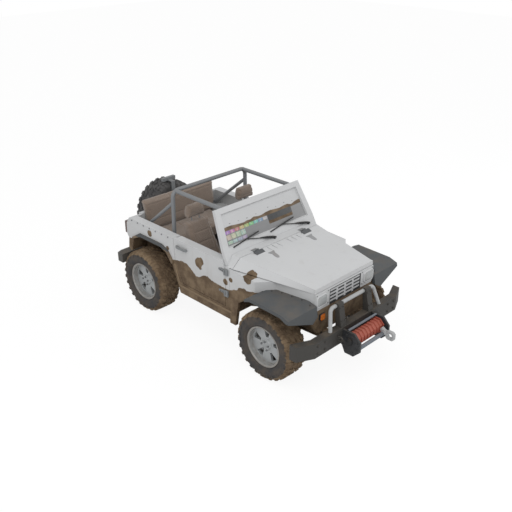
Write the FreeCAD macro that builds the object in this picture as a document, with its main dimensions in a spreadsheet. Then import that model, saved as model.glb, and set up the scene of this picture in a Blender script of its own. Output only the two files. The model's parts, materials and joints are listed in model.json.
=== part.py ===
"""An open four-wheel-drive car with a folding-type windscreen, a roll cage, a winch and a spare wheel.

The front faces -Y, +X is the car's left side and +Z is up. The origin is on the ground, in the
middle of the car's length and width. All sizes are in millimetres and stand in the sheet "Sizes".
Sizes named ..._f are distances behind the front axle, sizes named ..._r are distances behind the
rear axle, and a minus sign means ahead of that axle. Heights are above the ground.
"""

import FreeCAD, Part
import math
import os
import Sketcher

Vector = FreeCAD.Vector
DOC = FreeCAD.newDocument("open_car")

SIZES = {
    "wheelbase": 2300,
    "hook_reach": 280,
    "rear_reach": 770,
    "seat_gap": 0.3,
    "panel_gap": 7,
    # wheels and tyres
    "track": 1560,
    "tyre_radius": 441,
    "tyre_width": 340,
    "tread_width": 250,
    "tread_facets": 24,
    "tread_groove": 14,
    "tread_rib": 10,
    "shoulder_radius": 396,
    "sidewall_radius": 335,
    "bead_radius": 250,
    "bead_width": 262,
    "rim_wall": 12,
    "rim_lip": 12,
    "disc_inset": 60,
    "disc_thick": 34,
    "hub_radius": 72,
    "hub_length": 90,
    "window_inner": 106,
    "window_outer": 206,
    "window_inner_half": 16,
    "window_outer_half": 50,
    "spoke_count": 5,
    "spindle_radius": 28,
    "spindle_clear": 0.3,
    "drum_radius": 150,
    "drum_thick": 56,
    "drum_offset": 42,
    # axles and steering
    "kingpin_x": 655,
    "knuckle_half": 26,
    "knuckle_height": 200,
    "ear_thick": 20,
    "ear_gap": 5,
    "kingpin_radius": 12,
    "kingpin_clear": 0.3,
    "yoke_thick": 16,
    "yoke_half": 28,
    "ear_reach": 22,
    "axle_radius": 42,
    "diff_radius": 118,
    "diff_width": 190,
    "front_diff_x": 120,
    # chassis
    "rail_x": 330,
    "rail_width": 70,
    "rail_bottom": 530,
    "rail_top": 630,
    "frame_front_f": -569.7,
    "frame_rear_r": 381.7,
    "cross_width": 80,
    "cross_mid_f": 1120,
    "cross_back_r": -650,
    "spring_length": 900,
    "spring_thick": 22,
    "spring_width": 56,
    # tub
    "body_half": 837,
    "cabin_half": 715,
    "floor_bottom": 630,
    "floor_top": 670,
    "sill_bottom": 510,
    "sill_inner": 745,
    "firewall_f": 650,
    "firewall_thick": 60,
    "cowl_top": 1225,
    "cowl_front_f": 604,
    "cowl_top_back_f": 736,
    "cowl_seat_f": 745,
    "cowl_seat_z": 1198,
    "rail_height": 1265,
    "rail_front_f": 792,
    "tub_floor_end_r": 330,
    "tub_corner_r": 350,
    "tub_back_r": 422,
    "tub_back_low": 1015,
    "tub_back_high": 1173,
    "tub_notch_r": 382,
    "tub_notch_z": 957,
    "tub_foot_r": 402,
    "tub_foot_z": 810,
    "tub_low_z": 760,
    "cabin_back_r": 310,
    "wheelhouse_half": 590,
    "wheelhouse_wall": 38,
    "wheelhouse_front_r": -770,
    "wheelhouse_knee_r": -602,
    "wheelhouse_knee_z": 935,
    "wheelhouse_brow_r": -505,
    "wheelhouse_brow_z": 1060,
    "wheelhouse_crown_r": -434,
    "arch_foot_r": -700,
    "arch_knee_r": -540,
    "arch_knee_z": 915,
    "arch_shoulder_r": -455,
    "arch_shoulder_z": 1020,
    "arch_top": 1060,
    "arch_top_front_r": -350,
    "arch_top_back_r": 100,
    "arch_back_r": 275,
    "arch_back_z": 980,
    "arch_end_r": 322,
    "arch_end_z": 790,
    "arch_tail_r": 370,
    "arch_tail_z": 752,
    # doors
    "door_front_f": 720,
    "door_back_r": -600,
    "door_knee_r": -620,
    "door_knee_z": 950,
    "door_foot_r": -765,
    "door_bottom": 665,
    "door_top": 1272,
    "door_pillar_f": 742,
    "door_pillar_z": 1200,
    "door_pillar_top_f": 778,
    "door_skin": 40,
    "door_inner_gap": 6,
    "door_step": 24,
    "hinge_radius": 11,
    "hinge_out": 16,
    "hinge_high": 1145,
    "hinge_low": 855,
    "hinge_height": 80,
    "hinge_knuckle": 20,
    "hinge_link_gap": 6,
    "hinge_pin": 5,
    "pin_clear": 0.3,
    "strap_length": 105,
    "strap_thick": 7,
    "handle_length": 210,
    "handle_inset": 70,
    "handle_z": 1180,
    "handle_height": 26,
    "handle_out": 38,
    # tailgate and spare wheel
    "gate_half": 640,
    "gate_front_r": 322,
    "gate_back_r": 398,
    "gate_bottom": 728,
    "gate_hinge_x": 654,
    "gate_hinge_r": 438,
    "gate_barrel": 10,
    "gate_hinge_high": 1100,
    "gate_hinge_low": 850,
    "gate_hinge_height": 64,
    "gate_strap": 150,
    "spare_z": 1100,
    "carrier_half": 90,
    "carrier_height": 260,
    "carrier_plate": 16,
    "brake_lamp_half": 110,
    "brake_lamp_height": 46,
    "brake_lamp_top": 1592,
    "strap_half": 30,
    # front clip
    "wing_back_f": 647,
    "wing_turn_f": 220,
    "wing_inner_half": 635,
    "wing_inner_f": 62,
    "wing_mid_half": 572,
    "wing_mid_f": -275,
    "nose_half": 532,
    "nose_f": -414,
    "wing_wall": 45,
    "wing_top_front": 1160,
    "wing_top_back": 1208,
    "wing_foot_f": 550,
    "wing_foot_bottom": 462,
    "wing_arch_f": 500,
    "wing_arch_z": 800,
    "wing_low": 925,
    "wing_shelf": 110,
    "wing_shelf_bottom": 1150,
    "liner_x": 372,
    "liner_thick": 12,
    "liner_front_f": -392,
    "liner_back_f": 547,
    "liner_bottom": 640,
    "liner_sunk": 20,
    "shell_thick": 40,
    "shell_top": 1205,
    "shell_shoulder": 1004,
    "shell_low_half": 490,
    "shell_low": 885,
    "grille_half": 290,
    "grille_bottom": 940,
    "grille_top": 1156,
    "grille_thick": 22,
    "grille_rim": 14,
    "grille_columns": 4,
    "grille_rows": 4,
    "grille_pitch": 45,
    "grille_slot": 15,
    "grille_post": 34,
    "lamp_x": 434,
    "lamp_z": 1062,
    "lamp_half_wide": 84,
    "lamp_half_high": 68,
    "lamp_corner": 24,
    "lamp_depth": 50,
    "lamp_clear": 0.3,
    "signal_x": 415,
    "signal_z": 838,
    "signal_half": 38,
    "signal_depth": 28,
    "valance_half": 560,
    "valance_bottom": 723,
    "valance_thick": 30,
    # hood
    "hood_front_f": -410,
    "hood_back_f": 597,
    "hood_front_top": 1222,
    "hood_back_top": 1322,
    "hood_front_half": 530,
    "hood_back_half": 700,
    "hood_skirt_front": 1166,
    "hood_skirt_back": 1216,
    "hood_skirt_half_front": 538,
    "hood_skirt_half_back": 830,
    "hood_thick": 25,
    "louvre_first": 90,
    "louvre_pitch": 86,
    "louvre_half": 9,
    "louvre_front_f": 478,
    "louvre_back_f": 580,
    "louvre_depth": 14,
    # flares
    "flare_half": 1016,
    "flare_thick": 42,
    "flare_tail_f": 217,
    "flare_tail_z": 1034,
    "flare_hip_f": 139,
    "flare_top": 1068,
    "flare_kink_f": -356,
    "flare_brow_f": -474,
    "flare_brow_z": 1030,
    "flare_chin_f": -508,
    "flare_chin_z": 905,
    "flare_chin_half": 541,
    "flare_jaw_half": 637,
    "flare_jaw_z": 844,
    "flare_cheek_z": 992,
    "rear_flare_out": 20,
    "rear_flare_band": 46,
    # windscreen
    "screen_foot_f": 690,
    "screen_foot_z": 1228,
    "screen_lean_degrees": 27,
    "screen_height": 673,
    "screen_half_low": 817,
    "screen_half_high": 740,
    "screen_thick": 46,
    "glass_low": 193,
    "glass_high": 600,
    "glass_half_low": 717,
    "glass_half_high": 668,
    "glass_thick": 8,
    "glass_clear": 0.3,
    # roll cage
    "tube_radius": 27,
    "cage_bend": 90,
    "hoop_r": -400,
    "hoop_foot_half": 655,
    "hoop_top_half": 645,
    "hoop_top": 1800,
    "brace_top": 1640,
    "brace_foot_half": 640,
    "brace_foot_r": 326,
    "cage_trim": 200,
    # bumpers, bull bar and winch
    "bumper_front_f": -668,
    "bumper_tip_f": -567,
    "bumper_half": 979,
    "bumper_flat_half": 769,
    "bumper_bottom": 525,
    "bumper_top": 723,
    "bumper_back_f": -570,
    "bumper_tip_back_f": -470,
    "upright_x": 258,
    "upright_half": 45,
    "upright_top": 1012,
    "upright_top_front_f": -600,
    "upright_top_back_f": -545,
    "bar_foot_half": 468,
    "bar_top_half": 395,
    "bar_foot_f": -630,
    "bar_top": 975,
    "bar_lean_degrees": 16,
    "bar_radius": 24,
    "bar_bend": 60,
    "eye_x": 372,
    "eye_radius": 14,
    "eye_outer": 34,
    "eye_thick": 22,
    "eye_reach": 46,
    "eye_z": 620,
    "winch_x": 275,
    "winch_plate": 26,
    "winch_f": -775,
    "winch_z": 556,
    "winch_radius": 150,
    "drum_z": 585,
    "drum_rope": 84,
    "drum_shaft": 22,
    "drum_flange": 96,
    "drum_flange_thick": 12,
    "drum_rib_depth": 9,
    "drum_rib_width": 34,
    "drum_half": 248,
    "drum_ribs": 8,
    "tie_radius": 15,
    "hook_x": 200,
    "hook_z": 548,
    "hook_radius": 52,
    "hook_bar": 15,
    "rear_bumper_half": 930,
    "rear_bumper_front_r": 452,
    "rear_bumper_mid_r": 382,
    "rear_bumper_back_r": 590,
    "rear_bumper_bottom": 570,
    "rear_bumper_top": 700,
    "rear_dip_half": 460,
    "rear_dip_top": 620,
    "tow_radius": 16,
    # cabin
    "dash_back_f": 955,
    "dash_bottom": 985,
    "dash_low": 1130,
    "wheel_x": 400,
    "wheel_radius": 190,
    "wheel_rim": 15,
    "wheel_f": 1040,
    "wheel_z": 1215,
    "wheel_tilt_degrees": 62,
    "column_radius": 24,
    "column_length": 130,
    "seat_x": 430,
    "seat_half": 240,
    "seat_front_r": -1240,
    "seat_back_r": -775,
    "seat_base": 790,
    "seat_cushion": 170,
    "seat_back_thick": 140,
    "seat_back_top": 1430,
    "seat_back_top_r": -600,
    "headrest_half": 130,
    "headrest_gap": 14,
    "headrest_height": 170,
    "headrest_thick": 110,
    "bench_half": 545,
    "bench_front_r": -330,
    "bench_seat_top": 1040,
    "bench_seat_thick": 170,
    "bench_back_half": 600,
    "bench_foot_r": 184,
    "bench_top_r": 372,
    "bench_top": 1492,
    "bench_thick": 112,
    "bench_brow_r": 258,
    "bench_brow_z": 1440,
    "bench_corner": 50,
    # machinery
    "engine_half": 215,
    "engine_front_f": -220,
    "engine_back_f": 430,
    "engine_bottom": 640,
    "engine_top": 1060,
    "gearbox_half": 120,
    "gearbox_back_f": 1050,
    "gearbox_bottom": 440,
    "shaft_radius": 26,
    "shaft_rise": 50,
    "collar_length": 60,
    "engine_mount_f": 60,
    "tank_inner": 376,
    "tank_outer": 640,
    "tank_front_r": -1350,
    "tank_back_r": -850,
    "tank_bottom": 470,
    # lamps and wipers
    "tail_x": 795,
    "tail_half": 42,
    "tail_top": 1190,
    "tail_depth": 30,
    "wiper_radius": 7,
    "wiper_left": 631,
    "wiper_right": -10,
    "wiper_out": 42,
    "wiper_clear": 3,
    "wiper_reach": 412,
    "wiper_rise": 126,
    "wiper_elbow_side": 60,
    "wiper_elbow_rise": 36,
    "wiper_boss": 26,
    "wiper_bend": 24,
    "wiper_blade": 462,
    "wiper_tilt_degrees": 8.4,
    "lid_hinge_x": 428,
    "lid_hinge_rise": 12,
    "lid_barrel": 7,
    "lid_pin": 3.5,
    "lid_knuckle": 40,
    "lid_wedge": 98,
    "lid_wedge_height": 19,
    "lid_wedge_half": 72,
    "lid_wedge_back": 16,
}


class Size:
    """A number of millimetres together with the sheet formula that gives it."""

    def __init__(self, value, formula):
        self.value = float(value)
        self.formula = formula

    def __add__(self, other):
        other = as_size(other)
        return Size(self.value + other.value, f"({self.formula} + {other.formula})")

    def __sub__(self, other):
        other = as_size(other)
        return Size(self.value - other.value, f"({self.formula} - {other.formula})")

    def __mul__(self, other):
        other = as_size(other)
        return Size(self.value * other.value, f"({self.formula} * {other.formula})")

    def __truediv__(self, other):
        other = as_size(other)
        return Size(self.value / other.value, f"({self.formula} / {other.formula})")

    def __radd__(self, other):
        return as_size(other) + self

    def __rsub__(self, other):
        return as_size(other) - self

    def __rmul__(self, other):
        return as_size(other) * self

    def __neg__(self):
        return Size(-self.value, f"(0 - {self.formula})")

    def __float__(self):
        return self.value


def as_size(number):
    if isinstance(number, Size):
        return number
    if number < 0:
        return Size(number, f"(0 - {-number})")
    return Size(number, f"{number}")


def make_sheet():
    sheet = DOC.addObject("Spreadsheet::Sheet", "Sizes")
    for row, (alias, number) in enumerate(SIZES.items(), start=1):
        sheet.set(f"A{row}", alias.replace("_", " "))
        sheet.set(f"B{row}", str(number))
        sheet.setAlias(f"B{row}", alias)
    DOC.recompute()
    return sheet


SHEET = make_sheet()


def of(alias):
    return Size(SHEET.get(alias), f"Sizes.{alias}")


FRONT_REACH = of("hook_reach") - of("winch_f")
FRONT_AXLE = FRONT_REACH - (FRONT_REACH + of("wheelbase") + of("rear_reach")) / 2
REAR_AXLE = FRONT_AXLE + of("wheelbase")
WHEEL_X = of("track") / 2
ZERO = Size(0, "0")


def front(alias):
    """A place along the car that moves with the front axle."""
    return FRONT_AXLE + of(alias)


def rear(alias):
    """A place along the car that moves with the rear axle."""
    return REAR_AXLE + of(alias)


# Helpers that draw bound sketches and turn them into solids

ROLES = {"top": "XY_Plane", "front": "XZ_Plane", "side": "YZ_Plane"}


def bind(thing, prop, size):
    thing.setExpression(prop, as_size(size).formula)


def new_body(name):
    body = DOC.addObject("PartDesign::Body", name)
    body.Label = name
    return body


def origin_plane(body, view):
    for item in body.Origin.OriginFeatures:
        if item.Role == ROLES[view]:
            return item
    raise ValueError(view)


def draw_loop(sketch, corners):
    """Straight lines through the corners, each corner held by its two distances."""
    first = sketch.GeometryCount
    count = len(corners)
    points = [Vector(float(a), float(b), 0) for a, b in corners]
    lines = [Part.LineSegment(points[i], points[(i + 1) % count]) for i in range(count)]
    sketch.addGeometry(lines, False)
    for i in range(count):
        sketch.addConstraint(
            Sketcher.Constraint("Coincident", first + i, 2, first + (i + 1) % count, 1)
        )
    for i, (a, b) in enumerate(corners):
        hold_point(sketch, first + i, 1, a, b)


def hold_point(sketch, item, end, a, b):
    for kind, size in (("DistanceX", as_size(a)), ("DistanceY", as_size(b))):
        index = sketch.addConstraint(
            Sketcher.Constraint(kind, -1, 1, item, end, float(size))
        )
        sketch.setExpression(f"Constraints[{index}]", size.formula)


def draw_circle(sketch, across, up, radius):
    item = sketch.addGeometry(
        Part.Circle(Vector(float(across), float(up), 0), Vector(0, 0, 1), float(radius)), False
    )
    hold_point(sketch, item, 3, across, up)
    index = sketch.addConstraint(Sketcher.Constraint("Radius", item, float(radius)))
    sketch.setExpression(f"Constraints[{index}]", as_size(radius).formula)


def draw(body, view, place, loops=(), circles=()):
    """A sketch on one of the body's own planes, moved along the plane's normal to place."""
    sketch = body.newObject("Sketcher::SketchObject", body.Name + "_sketch")
    sketch.AttachmentSupport = (origin_plane(body, view), [""])
    sketch.MapMode = "FlatFace"
    offset = -as_size(place) if view == "front" else as_size(place)
    bind(sketch, "AttachmentOffset.Base.z", offset)
    for corners in loops:
        draw_loop(sketch, corners)
    for across, up, radius in circles:
        draw_circle(sketch, across, up, radius)
    sketch.Visibility = False
    return sketch


def pad(body, view, low, high, loops=(), circles=()):
    """Material between low and high, along the normal of the view's plane."""
    start = high if view == "front" else low
    feature = body.newObject("PartDesign::Pad", body.Name + "_pad")
    feature.Profile = draw(body, view, start, loops, circles)
    bind(feature, "Length", as_size(high) - low)
    return feature


def pocket(body, view, low, high, loops=(), circles=()):
    """A cut between low and high, along the normal of the view's plane."""
    start = high if view == "front" else low
    feature = body.newObject("PartDesign::Pocket", body.Name + "_pocket")
    feature.Profile = draw(body, view, start, loops, circles)
    feature.Reversed = True
    bind(feature, "Length", as_size(high) - low)
    return feature


def rectangle(left, right, bottom, top):
    return [(left, bottom), (right, bottom), (right, top), (left, top)]


def both_sides(half_outline):
    """A closed outline from its right half, listed from one centre end to the other."""
    return half_outline + [(-as_size(a), b) for a, b in reversed(half_outline)]


def mirrored(source, name):
    """The same piece on the other side of the car."""
    twin = DOC.addObject("Part::Mirroring", name)
    twin.Label = name
    twin.Source = source
    twin.Normal = Vector(1, 0, 0)
    return twin


def together(name, pieces):
    group = DOC.addObject("Part::Compound", name)
    group.Label = name
    group.Links = pieces
    return group


def fused(name, pieces):
    union = DOC.addObject("Part::MultiFuse", name)
    union.Label = name
    union.Shapes = pieces
    return union


def cut_from(name, base, tool):
    result = DOC.addObject("Part::Cut", name)
    result.Label = name
    result.Base = base
    result.Tool = tool
    return result


def move(thing, across=ZERO, along=ZERO, up=ZERO):
    bind(thing, "Placement.Base.x", across)
    bind(thing, "Placement.Base.y", along)
    bind(thing, "Placement.Base.z", up)


def turn(thing, axis, degrees):
    """Turns a piece about its own origin."""
    thing.Placement = FreeCAD.Placement(
        thing.Placement.Base, FreeCAD.Rotation(axis, float(degrees))
    )
    bind(thing, "Placement.Rotation.Angle", degrees)


def rod(name, axis, radius, length, across, along, up):
    """A round bar that starts at the given place and runs along X, Y or Z."""
    bar = DOC.addObject("Part::Cylinder", name)
    bar.Label = name
    bind(bar, "Radius", radius)
    bind(bar, "Height", length)
    if axis == "x":
        turn(bar, Vector(0, 1, 0), 90)
    if axis == "y":
        turn(bar, Vector(1, 0, 0), Size(-90, "(0 - 90)"))
    move(bar, across, along, up)
    return bar


def block(name, low, high):
    """A box between two corners."""
    box = DOC.addObject("Part::Box", name)
    box.Label = name
    for prop, a, b in zip(("Length", "Width", "Height"), low, high):
        bind(box, prop, as_size(b) - a)
    move(box, *[as_size(a) for a in low])
    return box


def bent_tube(name, points, radius, bend):
    """A tube along straight runs joined by tangent arcs of one radius."""
    places = [Vector(*[float(v) for v in p]) for p in points]
    edges = []
    start = places[0]
    for before, corner, after in zip(places, places[1:], places[2:]):
        inward = (before - corner).normalize()
        onward = (after - corner).normalize()
        half = inward.getAngle(onward) / 2
        back = float(bend) / math.tan(half)
        first = corner + inward * back
        last = corner + onward * back
        middle_way = (inward + onward).normalize()
        centre = corner + middle_way * (float(bend) / math.sin(half))
        edges.append(Part.LineSegment(start, first).toShape())
        edges.append(Part.Arc(first, centre - middle_way * float(bend), last).toShape())
        start = last
    edges.append(Part.LineSegment(start, places[-1]).toShape())
    path = Part.Wire(edges)
    direction = (places[1] - places[0]).normalize()
    ring = Part.Wire([Part.makeCircle(float(radius), places[0], direction)])
    tube = DOC.addObject("Part::Feature", name)
    tube.Label = name
    tube.Shape = path.makePipeShell([ring], True, False)
    return tube


# Wheels

def make_tyre(name):
    """A fat off-road tyre of flat facets, turned about the X axis, with lugs on alternate sides."""
    half = float(of("tyre_width")) / 2
    tread = float(of("tread_width")) / 2
    bead = float(of("bead_width")) / 2
    wall = float(of("rim_lip")) + 6
    rib = float(of("tread_rib"))
    bore = float(of("bead_radius"))
    crest = float(of("tyre_radius"))
    groove = crest - float(of("tread_groove"))
    shoulder = float(of("shoulder_radius"))
    side = float(of("sidewall_radius"))
    wall_line = [
        (half - 4, shoulder),
        (half, side),
        (bead, bore + wall),
        (bead, bore),
        (bead - wall, bore),
        (half - 34, side),
        (tread - 20, shoulder),
    ]
    across = wall_line + [(-a, b) for a, b in reversed(wall_line)]
    count = int(SHEET.get("tread_facets"))
    step = 2 * math.pi / count

    def spot(place, edge):
        """A profile point at the edge between two facets; the flat of a facet is at its radius."""
        radius = place[1] / math.cos(step / 2)
        angle = (edge - 0.5) * step
        return Vector(place[0], radius * math.sin(angle), -radius * math.cos(angle))

    def face(corners):
        return Part.Face(Part.makePolygon(corners + corners[:1]))

    faces = []
    for i in range(count):
        for a, b in zip(across, across[1:]):
            faces.append(face([spot(a, i), spot(b, i), spot(b, i + 1), spot(a, i + 1)]))
        lug = 1 if i % 2 == 0 else -1
        high = [(lug * (half - 4), shoulder), (lug * tread, crest)]
        crown = [(lug * tread, crest), (lug * rib, crest), (-lug * rib, crest)]
        low = [
            (-lug * rib, crest),
            (-lug * rib, groove),
            (-lug * tread, groove),
            (-lug * (half - 4), shoulder),
        ]
        for a, b in list(zip(high, high[1:])) + list(zip(low, low[1:])):
            faces.append(face([spot(a, i), spot(b, i), spot(b, i + 1), spot(a, i + 1)]))
        near = [spot(place, i) for place in crown]
        far = [spot(place, i + 1) for place in reversed(crown)]
        faces.append(face(near + far))
        for hand in (-1, 1):
            end = [
                (hand * (half - 4), shoulder),
                (hand * tread, crest),
                (hand * rib, crest),
                (hand * rib, groove),
                (hand * tread, groove),
            ]
            faces.append(face([spot(place, i) for place in end]))
    tyre = DOC.addObject("Part::Feature", name)
    tyre.Label = name
    tyre.Shape = Part.Solid(Part.makeShell(faces))
    return tyre


def make_rim(name, outward):
    """A five-spoke rim whose open face looks along outward times X."""
    body = new_body(name)
    bead = of("bead_width") / 2
    inner = of("bead_radius") - of("seat_gap") - of("rim_wall")
    face = bead - of("disc_inset")
    back = face - of("disc_thick")
    lip = of("bead_radius") + of("rim_lip")
    gap = of("seat_gap")
    bore = of("spindle_radius") + of("spindle_clear")
    side = outward
    outline = [
        (-bead - gap, inner),
        (back, inner),
        (back, of("hub_radius")),
        (face - of("hub_length"), of("hub_radius")),
        (face - of("hub_length"), bore),
        (face - 30, bore),
        (face - 30, ZERO),
        (face + 14, ZERO),
        (face + 14, of("hub_radius") - 14),
        (face, of("hub_radius")),
        (face, inner),
        (bead + gap, inner),
        (bead + gap + 10, inner + 6),
        (bead + gap + 10, lip),
        (bead + gap, lip),
        (bead + gap, of("bead_radius") - gap),
        (-bead - gap, of("bead_radius") - gap),
        (-bead - gap, lip),
        (-bead - gap - 10, lip),
        (-bead - gap - 10, inner),
    ]
    outline = [(side * as_size(a), b) for a, b in outline]
    feature = body.newObject("PartDesign::Revolution", name + "_turned")
    profile = draw(body, "top", ZERO, [outline])
    feature.Profile = profile
    feature.ReferenceAxis = (profile, ["H_Axis"])
    feature.Angle = 360
    low, high = (back - 1, face + 15) if outward > 0 else (-face - 15, -back + 1)
    window = pocket(
        body,
        "side",
        low,
        high,
        [
            [
                (-of("window_inner_half"), of("window_inner")),
                (of("window_inner_half"), of("window_inner")),
                (of("window_outer_half"), of("window_outer")),
                (-of("window_outer_half"), of("window_outer")),
            ]
        ],
    )
    pattern = body.newObject("PartDesign::PolarPattern", name + "_spokes")
    pattern.Originals = [window]
    pattern.Axis = (profile, ["H_Axis"])
    pattern.Angle = 360
    bind(pattern, "Occurrences", of("spoke_count"))
    body.Tip = pattern
    return body


def make_wheels():
    nodes = []
    corners = (
        ("front_right", -1, FRONT_AXLE),
        ("front_left", 1, FRONT_AXLE),
        ("rear_right", -1, REAR_AXLE),
        ("rear_left", 1, REAR_AXLE),
    )
    for corner, side, along in corners:
        tyre = make_tyre("tyre_" + corner)
        rim = make_rim("rim_" + corner, side)
        for piece in (tyre, rim):
            move(piece, side * WHEEL_X, along, of("tyre_radius"))
        nodes += [tyre, rim]
    return nodes


def make_spare():
    """The spare wheel stands behind the tailgate with its open face to the back."""
    tyre = make_tyre("tyre_spare")
    rim = make_rim("rim_spare", 1)
    back = rear("rear_reach")
    for piece in (tyre, rim):
        turn(piece, Vector(0, 0, 1), 90)
        move(piece, ZERO, back - of("tyre_width") / 2, of("spare_z"))
    return [tyre, rim]


# Axles, steering knuckles and springs

def hub_inner_face():
    """How far out the inner face of a wheel's hub boss stands."""
    return WHEEL_X + of("bead_width") / 2 - of("disc_inset") - of("hub_length")


def make_front_axle():
    """A tube with a yoke at each end that holds the knuckle between two ears."""
    height = of("tyre_radius")
    half_yoke = of("knuckle_height") / 2 + of("ear_gap")
    yoke_outer = of("kingpin_x") - of("knuckle_half") - of("ear_gap")
    yoke_inner = yoke_outer - of("yoke_thick")
    ear_end = of("kingpin_x") + of("ear_reach")
    pieces = [
        rod("front_tube", "x", of("axle_radius"), yoke_inner * 2, -yoke_inner, FRONT_AXLE, height),
        rod(
            "front_diff",
            "x",
            of("diff_radius"),
            of("diff_width"),
            of("front_diff_x") - of("diff_width") / 2,
            FRONT_AXLE,
            height,
        ),
    ]
    yoke = new_body("front_yoke_right")
    reach = of("yoke_half")
    pad(
        yoke,
        "front",
        FRONT_AXLE - reach,
        FRONT_AXLE + reach,
        [
            [
                (-ear_end, height + half_yoke),
                (-yoke_outer, height + half_yoke),
                (-yoke_outer, height - half_yoke),
                (-ear_end, height - half_yoke),
                (-ear_end, height - half_yoke - of("ear_thick")),
                (-yoke_inner, height - half_yoke - of("ear_thick")),
                (-yoke_inner, height + half_yoke + of("ear_thick")),
                (-ear_end, height + half_yoke + of("ear_thick")),
            ]
        ],
    )
    pocket(
        yoke,
        "top",
        height - half_yoke - of("ear_thick") - 1,
        height + half_yoke + of("ear_thick") + 1,
        circles=[(-of("kingpin_x"), FRONT_AXLE, of("kingpin_radius") + of("kingpin_clear"))],
    )
    pieces += [yoke, mirrored(yoke, "front_yoke_left")]
    return fused("front_axle", pieces)


def make_knuckle():
    """The right knuckle: kingpin, block, brake drum and the spindle that carries the wheel."""
    height = of("tyre_radius")
    core_half = of("knuckle_height") / 2
    pin_half = core_half + of("ear_gap") + of("ear_thick")
    drum_start = of("kingpin_x") + of("drum_offset")
    drum_end = hub_inner_face() - of("panel_gap")
    spindle_end = hub_inner_face() + of("hub_length") - 34
    pieces = [
        rod(
            "knuckle_core",
            "z",
            of("knuckle_half"),
            core_half * 2,
            -of("kingpin_x"),
            FRONT_AXLE,
            height - core_half,
        ),
        rod(
            "knuckle_neck",
            "x",
            of("axle_radius"),
            of("drum_offset") + 2,
            -drum_start - 2,
            FRONT_AXLE,
            height,
        ),
        rod(
            "knuckle_pin",
            "z",
            of("kingpin_radius"),
            pin_half * 2,
            -of("kingpin_x"),
            FRONT_AXLE,
            height - pin_half,
        ),
        rod(
            "knuckle_spindle",
            "x",
            of("spindle_radius"),
            spindle_end - drum_start,
            -spindle_end,
            FRONT_AXLE,
            height,
        ),
        rod(
            "knuckle_drum",
            "x",
            of("drum_radius"),
            drum_end - drum_start,
            -drum_end,
            FRONT_AXLE,
            height,
        ),
    ]
    return fused("knuckle_right", pieces)


def make_rear_axle():
    height = of("tyre_radius")
    drum_out = hub_inner_face() - of("panel_gap")
    spindle_end = hub_inner_face() + of("hub_length") - 34
    pieces = [
        rod("rear_tube", "x", of("axle_radius"), drum_out * 2, -drum_out, REAR_AXLE, height),
        rod(
            "rear_spindle",
            "x",
            of("spindle_radius"),
            spindle_end * 2,
            -spindle_end,
            REAR_AXLE,
            height,
        ),
        rod(
            "rear_diff",
            "x",
            of("diff_radius"),
            of("diff_width"),
            -of("diff_width") / 2,
            REAR_AXLE,
            height,
        ),
    ]
    for name, start in (
        ("rear_drum_left", drum_out - of("drum_thick")),
        ("rear_drum_right", -drum_out),
    ):
        pieces.append(rod(name, "x", of("drum_radius"), of("drum_thick"), start, REAR_AXLE, height))
    return fused("rear_axle", pieces)


def make_spring_pair(name, axle):
    """Leaf springs between an axle and the two rails above it."""
    body = new_body(name + "_right")
    low = of("tyre_radius") + of("axle_radius") + of("seat_gap")
    high = of("rail_bottom") - of("seat_gap") - of("spring_thick")
    half = of("spring_length") / 2
    shares = (-1, -0.66, -0.33, 0, 0.33, 0.66, 1)
    lower = [(axle + half * s, low + (high - low) * (s * s)) for s in shares]
    upper = [(a, b + of("spring_thick")) for a, b in reversed(lower)]
    left = -of("rail_x") - of("spring_width") / 2
    pad(body, "side", left, left + of("spring_width"), [lower + upper])
    return [body, mirrored(body, name + "_left")]


# Chassis and machinery

def make_frame():
    """A ladder frame: two rails and four cross members."""
    body = new_body("chassis_frame")
    outer = of("rail_x") + of("rail_width") / 2
    inner = of("rail_x") - of("rail_width") / 2
    first = front("frame_front_f")
    last = rear("frame_rear_r")
    width = of("cross_width")
    bars = [
        (first, first + width),
        (front("cross_mid_f"), front("cross_mid_f") + width),
        (rear("cross_back_r"), rear("cross_back_r") + width),
        (last - width, last),
    ]
    windows = [
        rectangle(-inner, inner, near[1], far[0]) for near, far in zip(bars, bars[1:])
    ]
    pad(
        body,
        "top",
        of("rail_bottom"),
        of("rail_top"),
        [rectangle(-outer, outer, first, last)] + windows,
    )
    return body


def make_engine():
    """One plain block at the engine's place and size."""
    body = new_body("engine_body")
    middle = (of("engine_bottom") + of("engine_top")) / 2
    taper = of("engine_half") - 60
    pad(
        body,
        "front",
        front("engine_front_f"),
        front("engine_back_f"),
        [
            both_sides(
                [
                    (taper, of("engine_bottom")),
                    (of("engine_half"), middle - 60),
                    (of("engine_half"), of("engine_top") - 60),
                    (taper, of("engine_top")),
                ]
            )
        ],
    )
    mount = new_body("engine_mounts")
    outer = of("rail_x")
    low = of("rail_top") + of("seat_gap")
    pad(
        mount,
        "top",
        low,
        low + 40,
        [rectangle(-outer, outer, front("engine_mount_f"), front("engine_mount_f") + 80)],
    )
    return fused("engine_block", [body, mount])


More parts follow.
